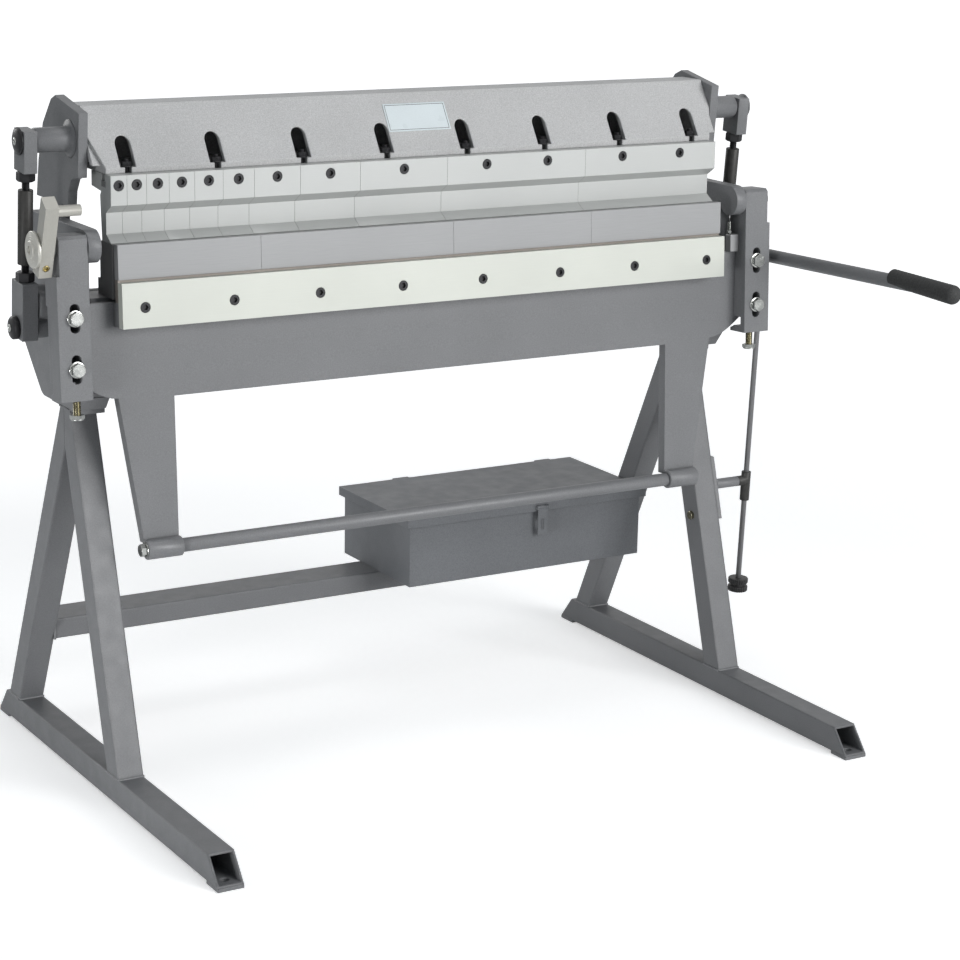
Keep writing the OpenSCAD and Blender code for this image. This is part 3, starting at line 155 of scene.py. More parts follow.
# %% [markdown]
# One large soft lamp stands in front of the machine, to the operator's right, because in the photograph
# the faces that look that way are light and those that look left are dark. The others only fill: one from
# above, one from behind, and a weak narrow one that lifts the left foot.

# %% Lamps
MACHINE_MIDDLE = (0.0, 0.0, 0.6)
LEFT_FOOT = (-0.5, 0.0, 0.15)
WIDE, NARROW = math.radians(180), math.radians(40)


def add_lamp(name, place, target, size, power, opening):
    """A square area lamp at place, turned towards target, whose light spreads by the opening."""
    data = bpy.data.lights.new(name, "AREA")
    data.size = size
    data.energy = power
    data.spread = opening
    lamp = bpy.data.objects.new(name, data)
    lamp.rotation_euler = (Vector(place) - Vector(target)).to_track_quat("Z", "Y").to_euler()
    lamp.location = place
    bpy.context.scene.collection.objects.link(lamp)
    return lamp


lamps = [add_lamp("front lamp", (1.9, -4.4, 2.0), MACHINE_MIDDLE, 2.4, 176.0, WIDE),
         add_lamp("top lamp", (0.4, -0.6, 4.2), MACHINE_MIDDLE, 2.0, 26.0, WIDE),
         add_lamp("rear lamp", (-1.0, 4.2, 2.4), MACHINE_MIDDLE, 2.6, 55.0, WIDE),
         add_lamp("low left lamp", (-2.8, -1.0, 0.25), LEFT_FOOT, 0.6, 2.4, NARROW)]
print("lamps in watts:", [lamp.data.energy for lamp in lamps])

# %% [markdown]
# A pale floor alone would turn grey far from the lamps and show a horizon. So it also glows for the camera,
# more with distance: it keeps the shadow near the feet and ends in the white of the world.

# %% Floor
FLOOR_HALF = 30.0
FLOOR_PALE = (0.88, 0.88, 0.88, 1)
FLOOR_GLOW_NEAR, FLOOR_GLOW_FAR = 0.50, 1.0
GLOW_FROM, GLOW_TO = 1.5, 5.5
FLOOR_BOUNCE = 0.12


def add_floor():
    """Pale floor whose glow for the camera grows from near to far, and is a weak bounce for other rays."""
    corners = np.array([[-1, -1, 0], [1, -1, 0], [1, 1, 0], [-1, 1, 0]]) * FLOOR_HALF
    mesh = bpy.data.meshes.new("floor")
    mesh.from_pydata(corners.tolist(), [], [(0, 1, 2, 3)])
    floor = bpy.data.objects.new("floor", mesh)
    bpy.context.scene.collection.objects.link(floor)
    material = bpy.data.materials.new("floor white")
    material.use_nodes = True
    tree = material.node_tree
    tree.nodes.clear()
    path = add_node(tree, "ShaderNodeLightPath")
    where = add_node(tree, "ShaderNodeTexCoord")
    away = add_node(tree, "ShaderNodeVectorMath", {0: where.outputs["Object"]}, operation="LENGTH")
    strength = add_node(tree, "ShaderNodeMapRange", {
        "Value": away.outputs["Value"], "From Min": GLOW_FROM, "From Max": GLOW_TO,
        "To Min": FLOOR_GLOW_NEAR, "To Max": FLOOR_GLOW_FAR}).outputs[0]
    seen = add_node(tree, "ShaderNodeMath", {0: path.outputs["Is Camera Ray"], 1: strength},
                    operation="MULTIPLY")
    glow = add_node(tree, "ShaderNodeMath", {0: seen.outputs[0], 1: FLOOR_BOUNCE}, operation="MAXIMUM")
    shader = add_node(tree, "ShaderNodeBsdfPrincipled", {
        "Base Color": FLOOR_PALE, "Roughness": 0.9, "Specular IOR Level": 0.1,
        "Emission Color": WHITE, "Emission Strength": glow.outputs[0]})
    add_node(tree, "ShaderNodeOutputMaterial", {"Surface": shader.outputs[0]})
    mesh.materials.append(material)
    return floor


print("floor half width in metres:", add_floor().data.vertices[2].co.x)

# %% [markdown]
# ## Paint
# The machine is sprayed with a satin grey enamel. Up close it has an orange-peel skin and fine dark and
# light specks, and a highlight is painted lighter along every edge. A picture of paint would need a layout
# of every face, so the specks are noise on the object's own coordinates. The painted edge highlights come
# from comparing the true normal with one that a bevel has softened.

# %% Parts of a material
BEVEL_SAMPLES = 4
FLAT_LIKENESS, EDGE_LIKENESS = 0.98, 0.80


def start_material(name):
    """An empty node material, and its tree with a Principled shader joined to the output."""
    material = bpy.data.materials.new(name)
    material.use_nodes = True
    tree = material.node_tree
    tree.nodes.clear()
    shader = add_node(tree, "ShaderNodeBsdfPrincipled")
    add_node(tree, "ShaderNodeOutputMaterial", {"Surface": shader.outputs[0]})
    return material, tree, shader


def noise(tree, scale, detail=3.0, stretch=(1, 1, 1)):
    """Noise on Object coordinates, in metres, with the given number of blotches per metre."""
    where = add_node(tree, "ShaderNodeTexCoord")
    turned = add_node(tree, "ShaderNodeMapping", {"Vector": where.outputs["Object"], "Scale": stretch})
    return add_node(tree, "ShaderNodeTexNoise",
                    {"Vector": turned.outputs[0], "Scale": scale, "Detail": detail}).outputs["Fac"]


def spread(tree, value, low, high, from_low=0.3, from_high=0.7):
    """Maps a noise value to the range low to high, clamped."""
    return add_node(tree, "ShaderNodeMapRange", {
        "Value": value, "From Min": from_low, "From Max": from_high,
        "To Min": low, "To Max": high}).outputs[0]


def shade(tree, colour, factor):
    """colour times factor, channel by channel."""
    scaled = add_node(tree, "ShaderNodeVectorMath", {0: colour, "Scale": factor}, operation="SCALE")
    return scaled.outputs[0]


def multiply(tree, first, second):
    """first times second."""
    return add_node(tree, "ShaderNodeMath", {0: first, 1: second}, operation="MULTIPLY").outputs[0]


def softened_normal(tree, radius):
    """The normal as it would be if every edge had that radius."""
    return add_node(tree, "ShaderNodeBevel", {"Radius": radius}, samples=BEVEL_SAMPLES).outputs[0]


def edge_highlight_and_shade(tree, radius, gain):
    """Painted edge light: 1 on a flat face, rising to 1 + gain where a bevel of that radius turns the normal
    away; a gain above 0 paints a highlight, below 0 paints shade.
    """
    soft = softened_normal(tree, radius)
    true = add_node(tree, "ShaderNodeNewGeometry")
    likeness = add_node(tree, "ShaderNodeVectorMath", {0: soft, 1: true.outputs["True Normal"]},
                        operation="DOT_PRODUCT")
    return add_node(tree, "ShaderNodeMapRange", {
        "Value": likeness.outputs["Value"], "From Min": FLAT_LIKENESS, "From Max": EDGE_LIKENESS,
        "To Min": 1.0, "To Max": 1.0 + gain}).outputs[0]


print("an edge starts at a likeness of", FLAT_LIKENESS)

# %% Enamel
BLOTCHES, SPECKS, SHEEN_CLOUDS, PEEL_DIMPLES = 7.0, 620.0, 40.0, 330.0
BLOTCH_TONE = 0.05
SHEEN_DOWN, SHEEN_UP = 0.05, 0.07
PEEL_DEPTH = 0.0006
# radius of the highlight painted lighter along the enamel's edges
PAINT_EDGE = 0.0014
PAINT_SPECULAR = 0.45
FRAME_GREY = (0.168, 0.171, 0.177)
TUBE_GREY = (0.147, 0.150, 0.156)
BEAM_GREY = (0.47, 0.47, 0.47)
BOX_GREY = (0.130, 0.136, 0.145)


def enamel(name, colour, speck=0.10, roughness=0.42, peel=0.10, edge=0.22, soft=0.0015):
    """Sprayed enamel: colour times slow blotches, fine specks and a painted edge highlight, over an
    orange-peel bump.
    """
    material, tree, shader = start_material(name)
    blotches = spread(tree, noise(tree, BLOTCHES), 1 - BLOTCH_TONE, 1 + BLOTCH_TONE)
    specks = spread(tree, noise(tree, SPECKS, 2.0), 1 - speck, 1 + speck)
    # the edges of the enamel are painted lighter by the gain edge: a painted highlight
    tone = multiply(tree, multiply(tree, blotches, specks), edge_highlight_and_shade(tree, PAINT_EDGE, edge))
    tree.links.new(shade(tree, colour, tone), shader.inputs["Base Color"])
    sheen = spread(tree, noise(tree, SHEEN_CLOUDS), roughness - SHEEN_DOWN, roughness + SHEEN_UP)
    tree.links.new(sheen, shader.inputs["Roughness"])
    bump = add_node(tree, "ShaderNodeBump", {
        "Strength": peel, "Distance": PEEL_DEPTH, "Height": noise(tree, PEEL_DIMPLES, 2.0),
        "Normal": softened_normal(tree, soft)})
    tree.links.new(bump.outputs[0], shader.inputs["Normal"])
    shader.inputs["Specular IOR Level"].default_value = PAINT_SPECULAR
    return material


frame_enamel = enamel("frame enamel", FRAME_GREY)
tube_enamel = enamel("tube enamel", TUBE_GREY, soft=0.005)
beam_enamel = enamel("beam enamel", BEAM_GREY, speck=0.16, roughness=0.48, soft=0.003)
box_enamel = enamel("toolbox enamel", BOX_GREY, speck=0.14, roughness=0.40)
print("paints:", frame_enamel.name, tube_enamel.name, beam_enamel.name, box_enamel.name)

# %% [markdown]
# ## Ground, plated and blackened steel
# A surface grinder leaves fine lines along the bar. They could be an anisotropic shine, but that shows no
# single line, so the steel's noise is stretched: hundreds of lines across, a few along. Zinc has soft
# cloudy crystals instead, and blackened screws are dull and oily.

# %% Steels
GRINDING_LINES, SMUDGES, CLOUDS = 14.0, 5.0, 120.0
STEEL_EDGE = 0.0010
LINE_BUMP, LINE_DEPTH = 0.08, 0.0002
LINE_SHEEN_DOWN, LINE_SHEEN_UP = 0.06, 0.08
ZINC_TONE, ZINC_ROUGHNESS = (0.96, 1.04), (0.20, 0.30)
OIL_TONE = (0.8, 1.3)
OIL_SHEEN_DOWN, OIL_SHEEN_UP = 0.08, 0.10
ALONG_X, ALONG_Z = (2, 90, 90), (60, 60, 6)


def ground_steel(name, colour, metallic, roughness, stretch=ALONG_X, line=0.05, smudge=0.04, edge=0.18):
    """Colour times noise stretched along an axis, slow smudges and a painted edge highlight; an edge below 0
    paints shade along the edges instead.
    """
    material, tree, shader = start_material(name)
    lines = noise(tree, GRINDING_LINES, 4.0, stretch)
    smudges = spread(tree, noise(tree, SMUDGES), 1 - smudge, 1 + smudge)
    tone = multiply(tree, spread(tree, lines, 1 - line, 1 + line), smudges)
    # the edges are painted lighter as a highlight; an edge below 0 paints them darker as shade
    tone = multiply(tree, tone, edge_highlight_and_shade(tree, STEEL_EDGE, edge))
    tree.links.new(shade(tree, colour, tone), shader.inputs["Base Color"])
    sheen = spread(tree, lines, roughness - LINE_SHEEN_DOWN, roughness + LINE_SHEEN_UP)
    tree.links.new(sheen, shader.inputs["Roughness"])
    shader.inputs["Metallic"].default_value = metallic
    bump = add_node(tree, "ShaderNodeBump", {"Strength": LINE_BUMP, "Distance": LINE_DEPTH, "Height": lines})
    tree.links.new(bump.outputs[0], shader.inputs["Normal"])
    return material


def zinc_plate(name, colour):
    """Zinc plate: bright metal whose colour and roughness vary with the same clouds."""
    material, tree, shader = start_material(name)
    clouds = noise(tree, CLOUDS)
    tree.links.new(shade(tree, colour, spread(tree, clouds, *ZINC_TONE)), shader.inputs["Base Color"])
    tree.links.new(spread(tree, clouds, *ZINC_ROUGHNESS), shader.inputs["Roughness"])
    shader.inputs["Metallic"].default_value = 1.0
    return material


def blackened(name, colour, roughness, metallic=0.4):
    """Black-oxide steel: dark, with an oily roughness that drifts."""
    material, tree, shader = start_material(name)
    oil = noise(tree, CLOUDS)
    tree.links.new(shade(tree, colour, spread(tree, oil, *OIL_TONE)), shader.inputs["Base Color"])
    sheen = spread(tree, oil, roughness - OIL_SHEEN_DOWN, roughness + OIL_SHEEN_UP)
    tree.links.new(sheen, shader.inputs["Roughness"])
    shader.inputs["Metallic"].default_value = metallic
    return material


# edge=-0.55 paints shade along each finger's edges, darkening the seams between fingers
finger_plate = ground_steel("plated fingers", (0.47, 0.48, 0.47), 0.20, 0.44, line=0.02, smudge=0.03,
                            edge=-0.55)
bar_plate = ground_steel("plated bending bar", (0.53, 0.545, 0.50), 0.20, 0.44, line=0.02)
edge_steel = ground_steel("ground edge strips", (0.285, 0.288, 0.292), 0.3, 0.48, smudge=0.03)
tongue_steel = ground_steel("sawn tongue", (0.22, 0.20, 0.18), 0.5, 0.5, line=0.15, smudge=0.15)
bed_steel = ground_steel("bed steel", (0.24, 0.24, 0.24), 0.6, 0.42)
bright_steel = ground_steel("bright turned steel", (0.60, 0.59, 0.54), 0.45, 0.38, ALONG_Z)
rod_steel = ground_steel("dull rod steel", (0.20, 0.20, 0.205), 0.5, 0.45)
arm_steel = ground_steel("stop arm steel", (0.44, 0.43, 0.39), 0.15, 0.40, ALONG_Z, line=0.04)
zinc = zinc_plate("zinc plate", (0.44, 0.45, 0.435))
yellow_zinc = zinc_plate("yellow zinc", (0.30, 0.28, 0.20))
brass = zinc_plate("brass", (0.40, 0.33, 0.16))
black_oxide = blackened("black oxide", (0.020, 0.020, 0.022), 0.38)
black_iron = blackened("black iron", (0.035, 0.034, 0.032), 0.5, metallic=0.2)
print("steels:", sum(1 for material in bpy.data.materials if "steel" in material.name))

# %% Rubber and plastic
GRAIN_BUMP, GRAIN_DEPTH = 0.35, 0.0005
PEBBLE_TONE = (0.7, 1.5)


def rubber(name, colour, roughness, grain):
    """Moulded rubber or plastic: dark, with a pebbled grain of that many blotches per metre."""
    material, tree, shader = start_material(name)
    pebbles = noise(tree, grain)
    tree.links.new(shade(tree, colour, spread(tree, pebbles, *PEBBLE_TONE)), shader.inputs["Base Color"])
    shader.inputs["Roughness"].default_value = roughness
    bump = add_node(tree, "ShaderNodeBump",
                    {"Strength": GRAIN_BUMP, "Distance": GRAIN_DEPTH, "Height": pebbles})
    tree.links.new(bump.outputs[0], shader.inputs["Normal"])
    return material


knob_plastic = rubber("knob plastic", (0.020, 0.020, 0.020), 0.45, 300.0)
grip_rubber = rubber("grip rubber", (0.028, 0.029, 0.029), 0.75, 420.0)
print("soft materials:", knob_plastic.name, grip_rubber.name)

# %% [markdown]
# ## Finishing the CAD pieces
# A CAD mesh has knife edges and loose triangles. Its pieces could be modelled again, but then they might
# leave their CAD shape. Three modifiers finish them without moving a vertex of the frame: Weld joins the
# triangles, Decimate turns flat fans of them into single faces, and Bevel rounds the edges as a file or a
# mould does.

# %% Materials and rounded edges for CAD nodes
WELD_GAP = 0.005
FLAT_ANGLE, EDGE_ANGLE = math.radians(0.5), math.radians(40)
ROUNDING_SEGMENTS = 2


def dress(material, rounding, *names):
    """Gives CAD nodes a material and an edge rounding in millimetres."""
    for name in names:
        piece = nodes[name]
        piece.data.materials.clear()
        piece.data.materials.append(material)
        weld = piece.modifiers.new("weld", "WELD")
        weld.merge_threshold = WELD_GAP * MM
        flat = piece.modifiers.new("flat faces", "DECIMATE")
        flat.decimate_type = "DISSOLVE"
        flat.angle_limit = FLAT_ANGLE
        bevel = piece.modifiers.new("rounding", "BEVEL")
        bevel.width = rounding * MM
        bevel.segments = ROUNDING_SEGMENTS
        bevel.limit_method = "ANGLE"
        bevel.angle_limit = EDGE_ANGLE
        bevel.harden_normals = True


dress(tube_enamel, 1.6, "foot_bars", "front_legs", "rear_legs", "cross_beam")
dress(frame_enamel, 1.0, "foot_pads", "stand_top_plates", "bed_channel", "apron_backing", "stop_guide")
dress(frame_enamel, 1.2, "apron_plate", "leaf_tube", "leaf_tube_bosses", "beam_pivot_arms", "crank_webs",
      "clamp_lever", "lever_hub")
dress(frame_enamel, 2.2, "left_hinge_bracket", "right_hinge_bracket", "beam_end_plates", "link_feet")
dress(frame_enamel, 3.5, "left_side_frame", "right_side_frame", "link_heads")
dress(beam_enamel, 1.6, "beam_shell")
dress(box_enamel, 0.5, "toolbox_body", "toolbox_lid", "toolbox_hasp")
dress(finger_plate, 0.35, "narrow_fingers", "medium_fingers", "wide_fingers")
dress(bar_plate, 0.5, "bending_bar")
dress(edge_steel, 0.35, "leaf_edge_segments")
dress(tongue_steel, 0.5, "leaf_tongue")
dress(bed_steel, 0.5, "bed_blade", "finger_rail", "leaf_pivot_pins", "clamp_shaft")
dress(arm_steel, 1.2, "stop_arm")
dress(rod_steel, 0.5, "stop_rod", "toolbox_hinge_pins")
dress(zinc, 0.6, "stand_bolts", "beam_arm_bolts")
dress(black_oxide, 0.5, "bed_screws", "bending_bar_screws", "finger_screws", "crank_pins")
dress(black_iron, 1.0, "turnbuckles", "stop_sleeve")
print("dressed:", sum(1 for piece in nodes.values() if piece.modifiers))

# %% [markdown]
# ## Surfaces
# Bolts, caps and welds are too fine for the CAD model. They could be sculpted or cut from cylinders, but a
# formula gives them exactly. Every added piece is a grid of points: rows along a profile or a path, columns
# round it. The columns close on themselves, and a first or last row of radius zero closes the end, so a
# piece is watertight.

# %% Turned surfaces
KNURLED_FROM_SHARE = 0.8


def full_turn(count):
    """That many equal steps of angle round a circle."""
    return np.linspace(0, 2 * np.pi, count, endpoint=False)


def about_x(along, radius, angle):
    """Points (along, radius cos angle, radius sin angle), one row for each place along X."""
    rows = np.broadcast_to(along[:, None], radius.shape)
    return np.stack([rows, radius * np.cos(angle), radius * np.sin(angle)], -1)


def turned(profile, count=64):
    """Surface of revolution about X of the profile's points (along, radius)."""
    along, radius = np.array(profile, float).T
    angle = full_turn(count)
    return about_x(along, radius[:, None] * np.ones(count), angle)


def arc(along, radius, size, start, end, count=7):
    """Profile points round (along, radius) at that size, from start to end degrees; 0 degrees is along X."""
    angle = np.radians(np.linspace(start, end, count))
    return list(zip(along + size * np.cos(angle), radius + size * np.sin(angle)))


def knurled(profile, lobes, depth, count=192):
    """Surface of revolution whose rim dips between lobes: depth times 1 - root of |sin(lobes angle / 2)|."""
    surface = turned(profile, count)
    radius = np.array(profile, float)[:, 1]
    dip = depth * (1 - np.abs(np.sin(lobes * full_turn(count) / 2)) ** 0.5)
    on_rim = radius[:, None] > KNURLED_FROM_SHARE * radius.max()
    surface[..., 1:] *= (1 - dip / radius.max() * on_rim)[..., None]
    return surface


print("points of a turned washer:", turned([(0, 0), (0, 8), (2, 8), (2, 0)]).shape[:2])

# %% Hexagons and threads
CHAMFER = math.radians(30)
HEX_FACE_SHARE = 0.475
CHAMFER_ROWS = 6
THREAD_DEPTH_SHARE = 0.6
ROWS_PER_PITCH = 5


def hex_head(across, height, both_ends=False, count=96):
    """Hexagon along X: across / 2 / cos(angle to the nearest flat's middle), cut by a 30 degree cone."""
    angle = full_turn(count)
    hexagon = across / 2 / np.cos((angle + np.pi / 6) % (np.pi / 3) - np.pi / 6)
    face = HEX_FACE_SHARE * across
    drop = (hexagon.max() - face) * math.tan(CHAMFER)
    top = np.linspace(height - drop, height, CHAMFER_ROWS)
    bottom = np.linspace(0, drop, CHAMFER_ROWS) if both_ends else np.zeros(1)
    along = np.concatenate([bottom, top])
    from_end = np.minimum(along, height - along) if both_ends else height - along
    cone = face + from_end / math.tan(CHAMFER)
    ends = np.zeros((2, count, 3))
    ends[1, :, 0] = height
    return np.concatenate([ends[:1], about_x(along, np.minimum(hexagon, cone[:, None]), angle), ends[1:]])


def thread(radius, pitch, start, end, count=32):
    """Thread along X: the radius less 0.6 pitch times a triangle wave of along / pitch - angle / turn."""
    along = np.arange(start, end, pitch / ROWS_PER_PITCH)
    angle = full_turn(count)
    phase = along[:, None] / pitch - angle / (2 * np.pi)
    depth = THREAD_DEPTH_SHARE * pitch * np.abs(2 * (phase % 1) - 1)
    depth[[0, -1]] = radius
    return about_x(along, radius - depth, angle)


print("rows and columns of a 19 mm hexagon:", hex_head(19, 7).shape[:2])

# %% Blocks, beads and placing
BEAD_STEP = 0.7
BEAD_SIDES = 10
BEAD_SWELL_SHARE = 0.2
WELD_RIPPLE = 2.2
OFF_AXIS = (0.31, 0.22, 0.92)
NEARLY_UPRIGHT = 0.9


def block(low, high):
    """A box as a tube of four columns that closes at both ends."""
    low, high = np.array(low, float), np.array(high, float)
    corners = np.array([[0, 0], [1, 0], [1, 1], [0, 1]])
    rows = []
    for x, share in ((low[0], 0), (low[0], 1), (high[0], 1), (high[0], 0)):
        ring = low[1:] + (high[1:] - low[1:]) * (0.5 + share * (corners - 0.5))
        rows.append(np.column_stack([np.full(4, x), ring]))
    return np.array(rows)


def bead(path, radius):
    """A weld along a path: rings square to it, whose radius swells by a fifth with every ripple."""
    path = np.array(path, float)
    length = np.concatenate([[0], np.cumsum(np.linalg.norm(np.diff(path, axis=0), axis=1))])
    place = np.arange(0, length[-1], BEAD_STEP)
    centre = np.stack([np.interp(place, length, path[:, k]) for k in range(3)], -1)
    ahead = np.gradient(centre, axis=0)
    ahead /= np.linalg.norm(ahead, axis=1)[:, None]
    side = np.cross(ahead, OFF_AXIS)
    side /= np.linalg.norm(side, axis=1)[:, None]
    up = np.cross(ahead, side)
    swell = BEAD_SWELL_SHARE * np.abs(np.sin(np.pi * place / WELD_RIPPLE))
    size = radius * (1 - BEAD_SWELL_SHARE + swell)
    size[[0, -1]] = 0
    angle = full_turn(BEAD_SIDES)[:, None]
    ring = np.cos(angle) * side[:, None] + np.sin(angle) * up[:, None]
    return centre[:, None] + size[:, None, None] * ring


def placed(surface, origin, axis):
    """Turns a surface that lies along X so that it lies along axis, from origin."""
    axis = np.array(axis, float) / np.linalg.norm(axis)
    side = np.cross([0, 0, 1] if abs(axis[2]) < NEARLY_UPRIGHT else [0, 1, 0], axis)
    side /= np.linalg.norm(side)
    return surface @ np.array([axis, side, np.cross(axis, side)]) + np.array(origin, float)


print("rows and columns of a block:", block((0, 0, 0), (1, 1, 1)).shape[:2])

# %% From surfaces to pieces
JOIN_GAP = 0.003


def quads(rows, columns):
    """Faces between neighbouring rows; the last column joins the first."""
    row = np.arange(rows - 1)[:, None]
    here = np.arange(columns)[None, :]
    there = (here + 1) % columns
    corners = [row * columns + here, row * columns + there,
               (row + 1) * columns + there, (row + 1) * columns + here]
    return np.stack(corners, axis=-1).reshape(-1, 4)


def make_piece(name, surfaces, material, body, replaces=(), sharp=35):
    """One object from closed surfaces: joined at its poles, normals outward, sharp past an angle."""
    points, faces, used = [], [], 0
    for surface in surfaces:
        points.append(surface.reshape(-1, 3) * MM)
        faces.append(quads(*surface.shape[:2]) + used)
        used += len(points[-1])
    mesh = bpy.data.meshes.new(name)
    mesh.from_pydata(np.concatenate(points).tolist(), [], np.concatenate(faces).tolist())
    work = bmesh.new()
    work.from_mesh(mesh)
    bmesh.ops.remove_doubles(work, verts=work.verts, dist=JOIN_GAP * MM)
    bmesh.ops.recalc_face_normals(work, faces=work.faces)
    work.to_mesh(mesh)
    work.free()
    mesh.shade_smooth()
    mesh.set_sharp_from_angle(angle=math.radians(sharp))
    mesh.materials.append(material)
    piece = bpy.data.objects.new(name, mesh)
    bpy.context.scene.collection.objects.link(piece)
    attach(piece, body)
    if replaces:
        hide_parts(*replaces)
    return piece


print("faces of a block:", len(quads(4, 4)))

# %% [markdown]
# ## Reading places from the frame
# A node such as the bracket bolts holds several solids. Typing their places would break when the machine's
# size changes, so they are read: points that share an edge belong to one solid, and the smallest number
# among them spreads along the edges until nothing changes.

# %% The solids of a node
SAME_POINT = 0.01


def node_points(mesh, place):
    """A mesh's points in the frame, in millimetres."""
    points = np.empty(3 * len(mesh.vertices))
    mesh.vertices.foreach_get("co", points)
    return (points.reshape(-1, 3) @ place[:3, :3].T + place[:3, 3]) / MM


def solids(name, axes=np.eye(3)):
    """(low, high) of each separate solid of a CAD node, measured along the rows of axes."""
    piece = nodes[name]
    work = bmesh.new()
    work.from_mesh(piece.data)
    bmesh.ops.remove_doubles(work, verts=work.verts, dist=SAME_POINT * MM)
    mesh = bpy.data.meshes.new("copy")
    work.to_mesh(mesh)
    work.free()
    edges = np.empty(2 * len(mesh.edges), int)
    mesh.edges.foreach_get("vertices", edges)
    points = node_points(mesh, np.array(piece.matrix_world)) @ np.array(axes).T
    bpy.data.meshes.remove(mesh)
    label, before = np.arange(len(points)), None
    first, second = edges.reshape(-1, 2).T
    while before is None or (label != before).any():
        before = label.copy()
        np.minimum.at(label, first, before[second])
        np.minimum.at(label, second, before[first])
        label = label[label]
    return [(points[label == k].min(0), points[label == k].max(0)) for k in np.unique(label)]


print("bracket bolts found:", len(solids("hinge_bracket_bolts")))

# %% [markdown]
# The leaf hangs a little forward at rest, and each link leans from its crank pin to its trunnion. Bolts on
# them point along those axes. The joints' places come from the record.

# %% The leaf's and the links' own axes
HANG = math.radians(3.0)
joints = {joint["name"]: joint for joint in frame["record"]["behaviour"]["joints"]}


def tilted(angle):
    """Rows X, Y and Z of axes that are turned by -angle about X."""
    cos, sin = math.cos(angle), math.sin(angle)
    return np.array([[1, 0, 0], [0, cos, -sin], [0, sin, cos]])


leaf_axes = tilted(HANG)
crank_pin = np.array(joints["links_pivot"]["pos_m"]) / MM
cap_low, cap_high = [np.array(corner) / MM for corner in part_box("trunnion_caps")]
trunnion = (cap_low + cap_high) / 2
link_lean = math.atan2(trunnion[1] - crank_pin[1], trunnion[2] - crank_pin[2])
link_axes = tilted(link_lean)
print("link leans by degrees:", round(math.degrees(link_lean), 2))

# %% [markdown]
# ## Bolts
# The machine is held by zinc-plated bolts with washers or flanges, and by blackened nuts on the rail. Bought
# models of bolts could be placed, but here a bolt is a washer, a chamfered hexagon and a threaded shank
# from the formulas above. The CAD solids say where each one sits, and the new bolts replace them one for
# one.

# %% A bolt
HEX_SHARP = 22
WASHER_RIM = 0.8
THREAD_SUNK = 1.0


def hex_bolt(seat, axis, length, across, head, shank_r, washer_r=0.0, washer_t=0.0, pitch=1.75):
    """Surfaces of a bolt whose head points along axis from its seat; the thread goes the other way."""
    axis = np.array(axis, float)
    surfaces = [placed(hex_head(across, head), seat + axis * washer_t, axis),
                placed(thread(shank_r, pitch, -THREAD_SUNK, length), seat, -axis)]
    if washer_r:
        rim = min(WASHER_RIM, washer_t / 2)
        profile = [(0, 0), (0, washer_r - rim)] + arc(rim, washer_r - rim, rim, 180, 0)
        profile += [(washer_t, shank_r), (washer_t, 0)]
        profile = [(max(0, min(washer_t, along)), radius) for along, radius in profile]
        surfaces.append(placed(turned(profile), seat, axis))
    return surfaces


def bolt_in_box(low, high, way, size):
    """A bolt as long as a solid's box, with its head at the low end of axis number way."""
    seat = (low + high) / 2
    seat[way] = low[way] + size["head"] + size.get("washer_t", 0.0)
    return hex_bolt(seat, -np.eye(3)[way], high[way] - seat[way], **size)


print("surfaces of a bolt:", len(hex_bolt(np.zeros(3), (0, 0, 1), 20, 19, 7, 6, 12, 2.5)))

# %% Bolts of the leaf
BRACKET_BOLT = {"across": 19.0, "head": 7.0, "shank_r": 6.0, "washer_r": 12.0, "washer_t": 2.5}
TUBE_BOLT = {"across": 17.0, "head": 7.0, "shank_r": 5.0, "washer_r": 12.0, "washer_t": 2.5}

surfaces = []
for low, high in solids("hinge_bracket_bolts", leaf_axes):
    surfaces += [surface @ leaf_axes for surface in bolt_in_box(low, high, 1, BRACKET_BOLT)]
make_piece("bracket_flange_bolts", surfaces, zinc, "leaf", ["hinge_bracket_bolts"], HEX_SHARP)
print("surfaces of the bracket bolts:", len(surfaces))

tube_bolt = bolt_in_box(*solids("leaf_tube_bolt", leaf_axes)[0], 0, TUBE_BOLT)
make_piece("tube_end_bolt", [surface @ leaf_axes for surface in tube_bolt], zinc, "leaf",
           ["leaf_tube_bolt"], HEX_SHARP)

# %% Adjusting screws of the leaf
ADJUST_R, ADJUST_PITCH, ADJUST_HEX, ADJUST_HEAD = 6.0, 1.75, 19.0, 6.0
ADJUST_THREAD_FROM, ADJUST_HEAD_RISE = 2.0, 7.5
PAD_R, PAD_T, PAD_ROUND, PAD_ROUND_AT, PAD_BULGE = 8.6, 2.6, 0.9, 1.4, 0.2

pad = [(0, 0), (0, PAD_R)] + arc(PAD_ROUND_AT, PAD_R + PAD_BULGE, PAD_ROUND, 150, 30) + [(PAD_T, 0)]
threads, heads = [], []
for low, high in solids("leaf_adjusting_screws", leaf_axes):
    foot = np.array([*(low + high)[:2] / 2, low[2]])
    screw = thread(ADJUST_R, ADJUST_PITCH, ADJUST_THREAD_FROM, high[2] - low[2])
    threads.append(placed(screw, foot, (0, 0, 1)) @ leaf_axes)
    head = hex_head(ADJUST_HEX, ADJUST_HEAD)
    heads.append(placed(head, foot + [0, 0, ADJUST_HEAD_RISE], (0, 0, -1)) @ leaf_axes)
    heads.append(placed(turned(pad), foot, (0, 0, 1)) @ leaf_axes)
make_piece("adjusting_screw_threads", threads, yellow_zinc, "leaf",
           ["leaf_adjusting_screws"], HEX_SHARP)
make_piece("adjusting_screw_heads", heads, zinc, "leaf", sharp=HEX_SHARP)
print("adjusting screws:", len(threads))

# %% Bolts of the stop guide
GUIDE_BOLT = {"across": 13.0, "head": 5.5, "shank_r": 4.0, "pitch": 1.25}
GUIDE_NUT_T, GUIDE_NUT_IN = 6.5, 8.0

